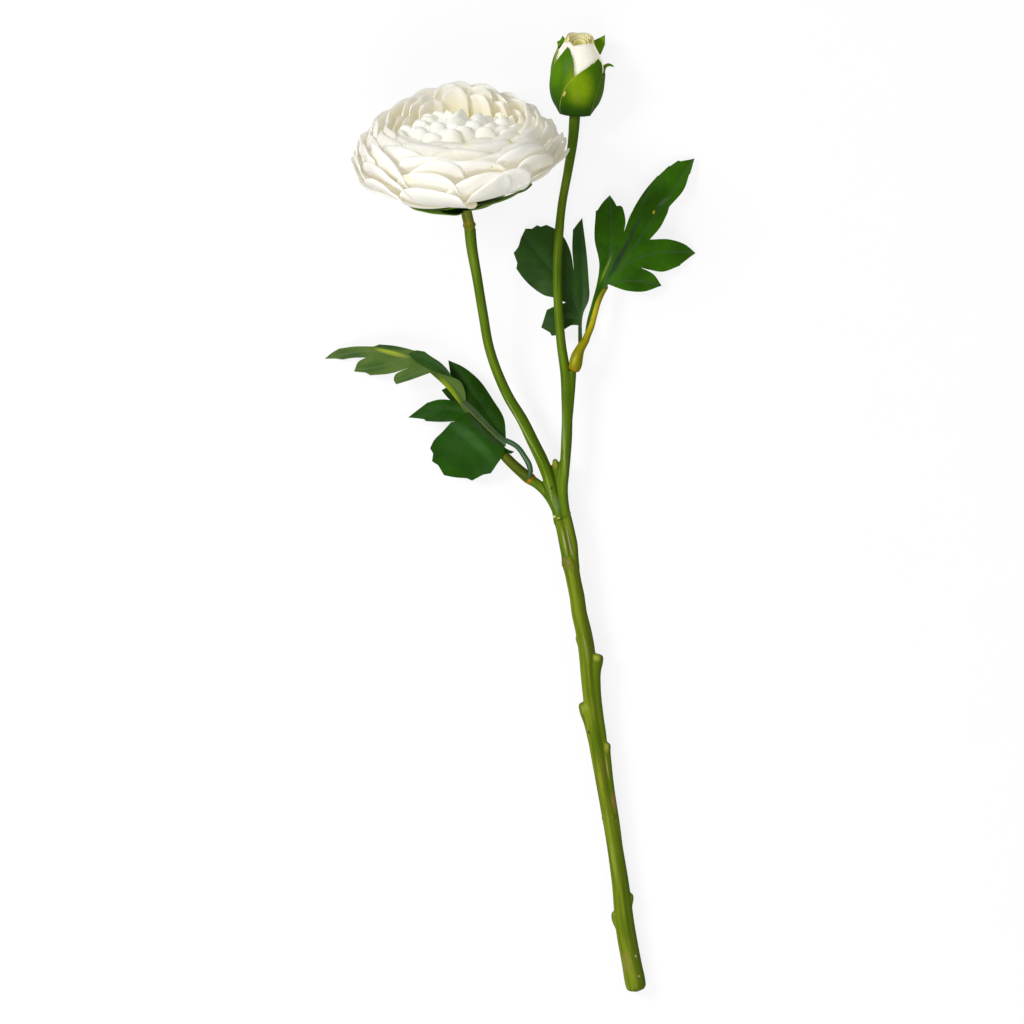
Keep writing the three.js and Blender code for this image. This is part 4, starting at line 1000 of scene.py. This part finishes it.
def heart_petal(index):
    """A small thick heart petal with a round tip. Heart petals stand on a spiral and mostly face forward."""
    spread = HEART_SPREAD * math.sqrt(index + 0.4)
    around = math.radians(GOLDEN_ANGLE * index)
    x0 = HEART_MIDDLE[0] + 1.4 * spread * math.cos(around)
    y0 = HEART_MIDDLE[1] + 0.62 * spread * math.sin(around)
    sideways = math.remainder(around + math.pi / 2, 2 * math.pi)
    angle = -math.pi / 2 + 0.22 * sideways + 0.45 * rng.uniform(-1, 1)
    height = HEART_TOP - 0.0085 * x0 ** 2 - 0.12 * abs(y0 - HEART_MIDDLE[1]) + 1.9 * rng.uniform(-1, 1)
    half_width = HEART_HALF_WIDTH - 0.07 * spread + 1.1 * rng.uniform(-1, 1)
    hook = rng.uniform(0.2, 2.4)

    def at(u, v):
        rounding = half_width * 0.9 * (1 - np.sqrt(1 - np.minimum(np.abs(u) ** 2.4, 1) * 0.98)) * v ** 3
        rise = HEART_FLOOR + (height - HEART_FLOOR) * v - rounding
        side = u * half_width * np.sin((0.25 + 0.5 * v) * np.pi)
        out = 1.5 * np.sin(v * 2.9) - 1.3 * u * u - hook * v ** 4
        return (x0 + out * math.cos(angle) - side * math.sin(angle),
                y0 + out * math.sin(angle) + side * math.cos(angle), rise)

    return at


def petal_material(name, tip, middle, root, low, high, spots=(), glow=0.12):
    """Pressed petal sheet: coloured by the distance from the root, ribbed lengthwise, softly lit through."""
    # glow gives the petals a faint cream light of their own: painted light that softens their shade.
    material, shader, place = new_material(
        name, Specular_IOR_Level=0.2, Subsurface_Weight=0.7, Subsurface_Scale=0.003, Emission_Strength=glow)
    shader.inputs["Subsurface Radius"].default_value = (1.0, 0.98, 0.9)
    shader.inputs["Emission Color"].default_value = (1.0, 0.96, 0.82, 1.0)
    along = attribute(place, "along")
    across = attribute(place, "across")
    patches = place.noise(70, detail=3)
    fibre = place.noise(1400, detail=2)
    reach = along + patches * 0.12
    colour = reach.step(low - 0.2, low + 0.1).tint(root, middle)
    colour = reach.step(low, high).tint(colour, tip)
    for centre, size, stain_or_painted_light in spots:
        colour = (place.spot(centre, size) * 0.85).tint(colour, stain_or_painted_light)
    connect(shader, "Base Color", colour)
    connect(shader, "Roughness", patches * 0.2 + 0.55)
    ribs = (across * 46 + patches * 3).maths("SINE")
    bump(shader, ribs * 0.2 + fibre * 0.5 + patches * 0.6 + 0.5, 0.3, 0.22)
    return material


def layer(name, shapes, place, thickness, material, across=PETAL_GRID, along=PETAL_GRID):
    """One layer of petals or sepals: each shaped at the head's place, then joined, thickened and smoothed."""
    whole = joined(name, [surface("petal", across, along, shape, place) for shape in shapes])
    apply(whole, "SOLIDIFY", thickness=thickness * MM, offset=0)
    bpy.ops.object.shade_smooth()
    whole.data.materials.append(material)
    return whole


def turned(name, profile, place, material, sides):
    """A closed round solid from its profile of (radius, height)."""
    line = smooth_line(profile, TURNED_STEPS + 1)

    def at(u, v):
        radius, height = line[np.rint(v * TURNED_STEPS).astype(int)].T
        return (radius * np.cos(np.pi * u), radius * np.sin(np.pi * u), height)

    piece = clean(surface(name, sides, TURNED_STEPS, at, place))
    bpy.ops.object.shade_smooth()
    piece.data.materials.append(material)
    return piece


bloom_place = stand(BLOOM_BASE, BLOOM_TILT, BLOOM_LEAN)
outer_white = petal_material(
    "petal_outer", PETAL_WHITE, (0.88, 0.84, 0.7), PETAL_CREAM, 0.5, 0.8, OUTER_SPOTS)
inner_white = petal_material(
    "petal_inner", (0.86, 0.83, 0.72), (0.82, 0.76, 0.54), PETAL_YELLOW, 0.8, 0.98, INNER_SPOTS)
heart_white = petal_material(
    "petal_heart", (0.9, 0.885, 0.81), (0.88, 0.85, 0.68), (0.74, 0.7, 0.4), 0.45, 0.75)

guard_shapes = [bloom_petal(0, *petal) for petal in GUARD_PETALS]
guard = layer("bloom_guard_petals", guard_shapes, bloom_place, PETAL_THICKNESS, outer_white)
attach(guard, "root")
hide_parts("bloom_petals")

wall_shapes = [bloom_petal(1, *petal) for petal in WALL_PETALS]
wall_shapes += [bloom_petal(2, *petal) for petal in WALL_INNER_PETALS]
wall = layer("bloom_wall_petals", wall_shapes, bloom_place, PETAL_THICKNESS, outer_white)
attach(wall, "root")

rim_shapes = inner_petals(RIM_DEPTH, RIM_ROWS)
rim = layer("bloom_rim_petals", rim_shapes, bloom_place, PETAL_THICKNESS, outer_white)
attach(rim, "root")

crown_shapes = inner_petals(CROWN_DEPTH, CROWN_ROWS)
crown = layer("bloom_crown_petals", crown_shapes, bloom_place, PETAL_THICKNESS, inner_white)
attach(crown, "root")

heart_shapes = [heart_petal(index) for index in range(HEART_PETALS)]
heart = layer("bloom_heart", heart_shapes, bloom_place, HEART_THICKNESS, heart_white, across=12, along=14)
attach(heart, "root")

seat = turned("bloom_receptacle", HEART_SEAT, bloom_place, heart_white, sides=40)
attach(seat, "root")

# Bloom calyx
# Six thin sepals, cast in satin green plastic with the collar tube that holds the head on its branch. They
# hug the guard petals. The tube ends in a ring, and the long right sepal shows under the bloom's edge.
BLOOM_SEPAL_THICKNESS = 0.5
# Each sepal: direction in degrees, length, half width, slope and bend under the petals, and its tip's curl
BLOOM_SEPALS = [
    (-41, 38.5, 4.4, 0.3, 0.0042, -1.1), (-150, 25.5, 6.5, 0.17, 0.0047, 0.4),
    (-84, 15, 8, 0.42, 0.004, 0.3), (105, 27, 8, 0.22, 0.007, 0.4), (35, 27, 8, 0.22, 0.007, 0.4),
    (172, 25, 7, 0.22, 0.007, 0.4),
]
COLLAR = [(2.45, -8.6, 2.45), (2.1, -5, 2.35), (1.7, -2.4, 2.35), (1.3, 0.4, 2.4), (0.9, 2.6, 3)]
COLLAR_RING = [(2.35, -7.1, 2.45), (2.3, -6.2, 2.8), (2.2, -5.3, 2.45)]


def sepal_material(name, shades, edge, glows):
    """Satin sepal: darker at its foot, yellow green at its middle, with a thin pale edge."""
    material, shader, place = new_material(name, Specular_IOR_Level=0.1)
    along = attribute(place, "along")
    across = attribute(place, "across")
    mottle = place.noise(160, detail=3)
    fibre = place.noise(900, detail=3)
    colour = (along + mottle * 0.3).step(0.02, 0.5).tint(*shades)
    for middle, reach, glow in glows:
        colour = (place.spot(middle, reach) * (mottle * 1.2 + 0.95)).tint(colour, glow)
    rim = abs(across).step(0.92, 0.99).maths("MAXIMUM", along.step(0.975, 0.995))
    connect(shader, "Base Color", (rim * 0.7).tint(colour, edge))
    connect(shader, "Roughness", mottle * 0.25 + 0.42)
    ribs = (across * 16).maths("SINE")
    bump(shader, ribs * 0.16 + fibre * 0.5 + mottle * 0.5 + 0.5, 0.4, 0.25)
    return material


def bloom_sepal(heading, length, half_width, slope, bend, curl):
    """A sepal that runs out from the collar under the guard petals, with its tip curled by curl."""
    angle = math.radians(heading)

    def at(u, v):
        out = 1 + v * (length - 1) * (1 - 0.08 * u * u)
        side = u * (1.6 + half_width * np.sin(np.pi * (0.06 + 0.86 * v)) ** 0.8)
        height = slope * out + bend * out * out + 1.3 - 0.006 * side * side
        tip = np.clip(v - 0.86, 0, 1) / 0.14
        height = height - curl * tip ** 2 + 0.3 * np.sin(9 * v + 3 * u)
        return (out * math.cos(angle) - side * math.sin(angle),
                out * math.sin(angle) + side * math.cos(angle), height)

    return at


def placed(points, place):
    """Points (x, z, radius) of a head's collar, moved to the head's place."""
    return [(*(place @ Vector((x, 0, z))), radius) for x, z, radius in points]


sepal_green = sepal_material("sepal_green", ((0.016, 0.06, 0.001), (0.03, 0.11, 0.001)), (0.2, 0.3, 0.03), [
    ((-29, 127, 45), (8, 3, 20), (0.06, 0.17, 0.002)),
])
sepal_shapes = [bloom_sepal(*sepal) for sepal in BLOOM_SEPALS]
calyx = layer("bloom_calyx_sepals", sepal_shapes, bloom_place, BLOOM_SEPAL_THICKNESS, sepal_green,
              across=16, along=22)
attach(calyx, "root")
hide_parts("bloom_calyx")

collar_line = placed(COLLAR, bloom_place)
collar_parts = [
    tube("collar", collar_line, sides=28, step=0.5, cap=0.5),
    tube("collar_ring", placed(COLLAR_RING, bloom_place), sides=32, step=0.2, cap=0.4),
]
collar = fused("bloom_collar", collar_parts, [collar_line])
collar.data.materials.append(stem_material("collar_olive", (0.24, 0.24, 0.012), (0.13, 0.16, 0.006), [
    ((-17.5, 121.5, 28), (4, 1.6, 6), 0, (0.3, 0.2, 0.01)),
]))
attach(collar, "root")

# Bud
# A closed bud: pressed white petals wrapped round a cone, their yellow edges rolled together at the top.
# Six sepals clasp it. They are cast with the flat base that the branch is plugged into.
BUD_TILT = 8
BUD_LEAN = -3.5
BUD_BASE = (27.4, 167.6, 9.9)
BUD_WALL = 0.35
BUD_WALL_STEP = 0.45
BUD_ROOT = 8
BUD_PETAL_THICKNESS = 0.3
BUD_SEPAL_THICKNESS = 0.7
BUD_FLAP_THICKNESS = 0.5
BUD_PROFILE = [
    (0, 5.6), (1, 6.3), (2.8, 7.4), (5.8, 9.3), (9.8, 10.6), (15.1, 11.05), (20.6, 10.9), (25, 9.6),
    (27.6, 8.2), (30.3, 6.8), (36, 3),
]
# Each wrapped petal: direction in degrees (-90 is towards the viewer), tip's height and radius, half angle
BUD_WRAPS = [
    (-46, 30.9, 6.5, 1.3), (-145, 31.2, 6.6, 0.62), (30, 31.4, 6.2, 0.9), (80, 32.2, 5.9, 1.0),
    (140, 31.8, 6.4, 0.9),
]
# Each rolled petal of the whorl, inside one another: direction, tip's height and radius, and half angle
BUD_WHORL = [
    (92, 34.4, 5.6, 1.45), (100, 33.7, 4.5, 1.5), (84, 32.9, 3.4, 1.6), (95, 32.1, 2.2, 1.7),
    (180, 33.2, 5.15, 0.55), (12, 33.6, 5.1, 0.4),
]
# Each sepal: direction in degrees, length along the bud, half width, where it starts to narrow and how full
# it stays, its tip's flare, how far round it swings, how much of that the tip swings back, and its lift
# over the others
BUD_SEPALS = [
    (-138, 29.3, 7.6, 0.42, 1.5, 0, 24, 0.6, 0.3), (-89, 25.1, 7.5, 0.42, 2.3, 0.2, 50, 0, 0.75),
    (-14, 19.5, 7, 0.3, 2.3, 0.1, 0, 0, 0.1), (178, 30, 6.4, 0.5, 1.6, 1.4, 0, 0, -0.1),
    (62, 28, 7, 0.5, 2.3, 0.6, -8, 0, 0.1), (118, 26, 7, 0.5, 2.3, 0.4, 0, 0, 0.2),
]
BUD_TIP = [
    (19.8, 198.5, CORNER), (20.9, 199), (22.1, 201, CORNER), (23.3, 199.4, CORNER), (21.3, 196.1, CORNER),
    (20.5, 195.2, CORNER),
]
BUD_HOOK = [
    (38, 180.6, 13, 0.8), (38.3, 183, 13.3, 1.4), (38.6, 185.1, 13.4, 1.4), (39.2, 186.9, 13.3, 1.05),
    (40.1, 188.1, 13.1, 0.8), (41.6, 188.7, 13, 0.65), (42.9, 188.3, 12.9, 0.4), (43.7, 187.8, 12.8, 0.25),
]
BUD_FLAP = [
    (33, 199.3, CORNER), (35.2, 199, CORNER), (39.9, 201.3, CORNER), (39.9, 197.3, CORNER),
    (38.3, 193.6, CORNER), (36.6, 191.2, CORNER),
]
BUD_CHIP = [(22.4, 175, 21.2, 0.25), (22.8, 176, 21.8, 0.55), (23.6, 177.4, 22.3, 0.25)]
BUD_FOOT = [(0.02, 0), (4, 0), (5.7, 0.1), (6.4, 0.9), (7.4, 2.8), (8.9, 5.4), (8, 7), (0.02, 7.6)]
BUD_GLOWS = [
    ((29, 179, 21), (8, 11, 15), (0.22, 0.34, 0.0005)),
    ((19, 186, 19), (4, 9, 14), (0.09, 0.22, 0.0005)),
    ((38, 197.7, 8.5), (6, 7, 6), (0.13, 0.29, 0.0005)),
    ((21.6, 198.5, 12), (3, 4.5, 5), (0.07, 0.22, 0.002)),
    ((40, 187, 13), (3, 4, 4), (0.12, 0.2, 0.005)),
]


def bud_radius(height):
    """Radius of the bud's outside at a height over its flat base."""
    line = smooth_line(BUD_PROFILE, 120)
    return np.interp(height, line[:, 0], line[:, 1])


def bud_petal(heading, tip_height, tip_radius, half_angle, wall):
    """A petal wrapped round the bud, wall millimetres inside its outside, that closes in to its tip."""
    angle = math.radians(heading)

    def at(u, v):
        height = BUD_ROOT + (tip_height - BUD_ROOT) * v * (1 - 0.06 * u * u * v)
        body = bud_radius(height) - wall
        ripple = 0.35 * u + 0.35 * np.sin(4 * v + 2 * u) * v ** 4
        radius = body + (tip_radius - body[np.argmax(v)]) * v ** 3 + ripple
        around = angle + u * half_angle * (1 - 0.05 * v)
        return (radius * np.cos(around), radius * np.sin(around), height)

    return at


def whorl_petal(heading, tip_height, tip_radius, half_angle):
    """One turn of the rolled top: a cone that widens downwards, with a slightly curled rim."""
    angle = math.radians(heading)

    def at(u, v):
        height = tip_height - 5.5 * (1 - v) - 0.7 * u * u + 0.2 * np.sin(7 * u + heading) * v ** 4
        radius = tip_radius + 0.2 * (tip_height - height) - 0.3 * v ** 6 + 0.15 * np.sin(5 * u + heading)
        return (radius * np.cos(angle + u * half_angle), radius * np.sin(angle + u * half_angle), height)

    return at


def bud_sepal(heading, length, half_width, shoulder, full, flare, swing, back, lift):
    """A sepal that clasps the bud from its flat base and narrows from its shoulder to its tip."""
    angle = math.radians(heading)

    def at(u, v):
        height = 0.6 + (length - 0.6) * v * (1 - 0.03 * u * u * v)
        radius = bud_radius(height) + flare * v ** 8 + lift + 0.1
        narrowing = np.clip((v - shoulder) / (1 - shoulder), 0, 1)
        spread = half_width * (1 - narrowing ** full) ** 0.78 + 0.15
        turn = math.radians(swing) * (v ** 2.1 - back * v ** 12)
        around = angle + turn + u * spread / np.maximum(radius, 6.4)
        return (radius * np.cos(around), radius * np.sin(around), height)

    return at


bud_place = stand(BUD_BASE, BUD_TILT, BUD_LEAN)
bud_white = petal_material(
    "bud_white", (0.94, 0.93, 0.85), (0.94, 0.92, 0.78), (0.8, 0.76, 0.45), 0.2, 0.55, glow=0.22)
bud_yellow = petal_material(
    "bud_yellow", (0.88, 0.83, 0.45), (0.7, 0.61, 0.09), (0.6, 0.5, 0.05), 0.66, 1.1,
    spots=[((34.2, 199.5, 16), (0.7, 3.2, 9), (0.28, 0.2, 0.06))], glow=0.08)
bud_green = sepal_material(
    "bud_sepal_green", ((0.02, 0.07, 0.001), (0.06, 0.165, 0.0005)), (0.4, 0.45, 0.04), BUD_GLOWS)

wrap_shapes = [bud_petal(*petal, BUD_WALL + BUD_WALL_STEP * (i % 3)) for i, petal in enumerate(BUD_WRAPS)]
wraps = layer("bud_wrapped_petals", wrap_shapes, bud_place, BUD_PETAL_THICKNESS, bud_white)
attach(wraps, "root")
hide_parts("bud_petals")

whorl_shapes = [whorl_petal(*petal) for petal in BUD_WHORL]
whorl = layer("bud_whorl_petals", whorl_shapes, bud_place, BUD_PETAL_THICKNESS, bud_yellow)
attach(whorl, "root")

bud_sepal_shapes = [bud_sepal(*sepal) for sepal in BUD_SEPALS]
bud_calyx = layer("bud_sepals", bud_sepal_shapes, bud_place, BUD_SEPAL_THICKNESS, bud_green,
                  across=20, along=26)
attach(bud_calyx, "root")
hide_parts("bud_calyx")

hook = tube("bud_sepal_hook", BUD_HOOK, sides=14, step=0.4, cap=0.4)
bpy.ops.object.shade_smooth()
hook.data.materials.append(bud_green)
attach(hook, "root")

flap = joined("bud_sepal_flap", [
    blade("flap", BUD_FLAP, bent((37, 197, 8.5), 60, 0.1), [[(36.5, 194), (38, 200)]], waves=0, arch=0),
    blade("tip", BUD_TIP, bent((21, 198, 12), 60, 0.1), [[(20.9, 195.5), (22.1, 201)]], waves=0, arch=0),
])
apply(flap, "SOLIDIFY", thickness=BUD_FLAP_THICKNESS * MM, offset=0)
bpy.ops.object.shade_smooth()
middle_of_sepal = [0.45] * len(flap.data.vertices)
flap.data.attributes.new("along", "FLOAT", "POINT").data.foreach_set("value", middle_of_sepal)
flap.data.materials.append(bud_green)
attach(flap, "root")

chip = tube("bud_cream_chip", BUD_CHIP, sides=10, step=0.3, cap=0.4)
bpy.ops.object.shade_smooth()
chip.data.materials.append(bud_yellow)
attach(chip, "root")

bud_foot = turned("bud_foot", BUD_FOOT, bud_place, sepal_green, sides=36)
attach(bud_foot, "root")

# Floor
# A plain white table that is lit evenly from below. It runs out of sight, and shadows on it stay faint.
FLOOR_SIDE = 40
FLOOR_GLOW = 0.84
FLOOR_GREY = (0.145, 0.145, 0.145)
FLOOR_PALER = (0.15, 0.15, 0.15)
bpy.ops.object.select_all(action="DESELECT")
bpy.ops.mesh.primitive_plane_add(size=FLOOR_SIDE, location=(0, 0, 0))
floor = bpy.context.object
floor.name = "floor"
floor.visible_diffuse = False
floor.visible_glossy = False
table_white, shader, place = new_material("table_white", Roughness=0.9, Specular_IOR_Level=0.0)
shader.inputs["Emission Color"].default_value = (1, 1, 1, 1)
shader.inputs["Emission Strength"].default_value = FLOOR_GLOW
connect(shader, "Base Color", place.noise(30).step(-0.5, 0.5).tint(FLOOR_GREY, FLOOR_PALER))
floor.data.materials.append(table_white)

# Light
# A strong soft lamp to the upper left, weaker ones to the right, the front and the back, and a dim white
# surround. The flower's shadows stay soft and short.
WORLD_STRENGTH = 0.33
# Each lamp: its name, its place and its side in metres, and its power in watts
LAMPS = [
    ("key", (-1.3, 0.6, 1.4), 0.6, 25.5),
    ("right_fill", (1.4, -0.4, 0.9), 1.0, 1.2),
    ("front_fill", (-0.3, -1.2, 1.5), 1.0, 17.5),
    ("back_fill", (0.1, 1.5, 0.9), 1.0, 2),
]
scene = bpy.context.scene
scene.view_settings.view_transform = "Standard"
world = bpy.data.worlds.new("surround")
world.use_nodes = True
world.node_tree.nodes["Background"].inputs["Color"].default_value = (1, 1, 1, 1)
world.node_tree.nodes["Background"].inputs["Strength"].default_value = WORLD_STRENGTH
scene.world = world
for name, spot, size, energy in LAMPS:
    data = bpy.data.lights.new(name, "AREA")
    data.size = size
    data.energy = energy
    lamp = bpy.data.objects.new(name, data)
    lamp.location = spot
    lamp.rotation_euler = (-Vector(spot)).to_track_quat("-Z", "Y").to_euler()
    scene.collection.objects.link(lamp)

# Camera
# It looks straight down on the flower through a long lens, so that nothing is foreshortened. Its distance
# gives each pixel of the picture the same width at the flower as in the photograph.
PHOTO_SIDE = 1024
PIXEL = 0.42
PHOTO_MIDDLE = (0.84, 0.63)
LENS = 500
SENSOR = 36
FOCUS_HEIGHT = 20
camera_data = bpy.data.cameras.new("camera")
camera_data.lens = LENS
camera_data.sensor_width = SENSOR
camera_data.clip_end = 100
camera = bpy.data.objects.new("camera", camera_data)
distance = PHOTO_SIDE * PIXEL * LENS / SENSOR
camera.location = (PHOTO_MIDDLE[0] * MM, PHOTO_MIDDLE[1] * MM, (distance + FOCUS_HEIGHT) * MM)
scene.collection.objects.link(camera)
scene.camera = camera
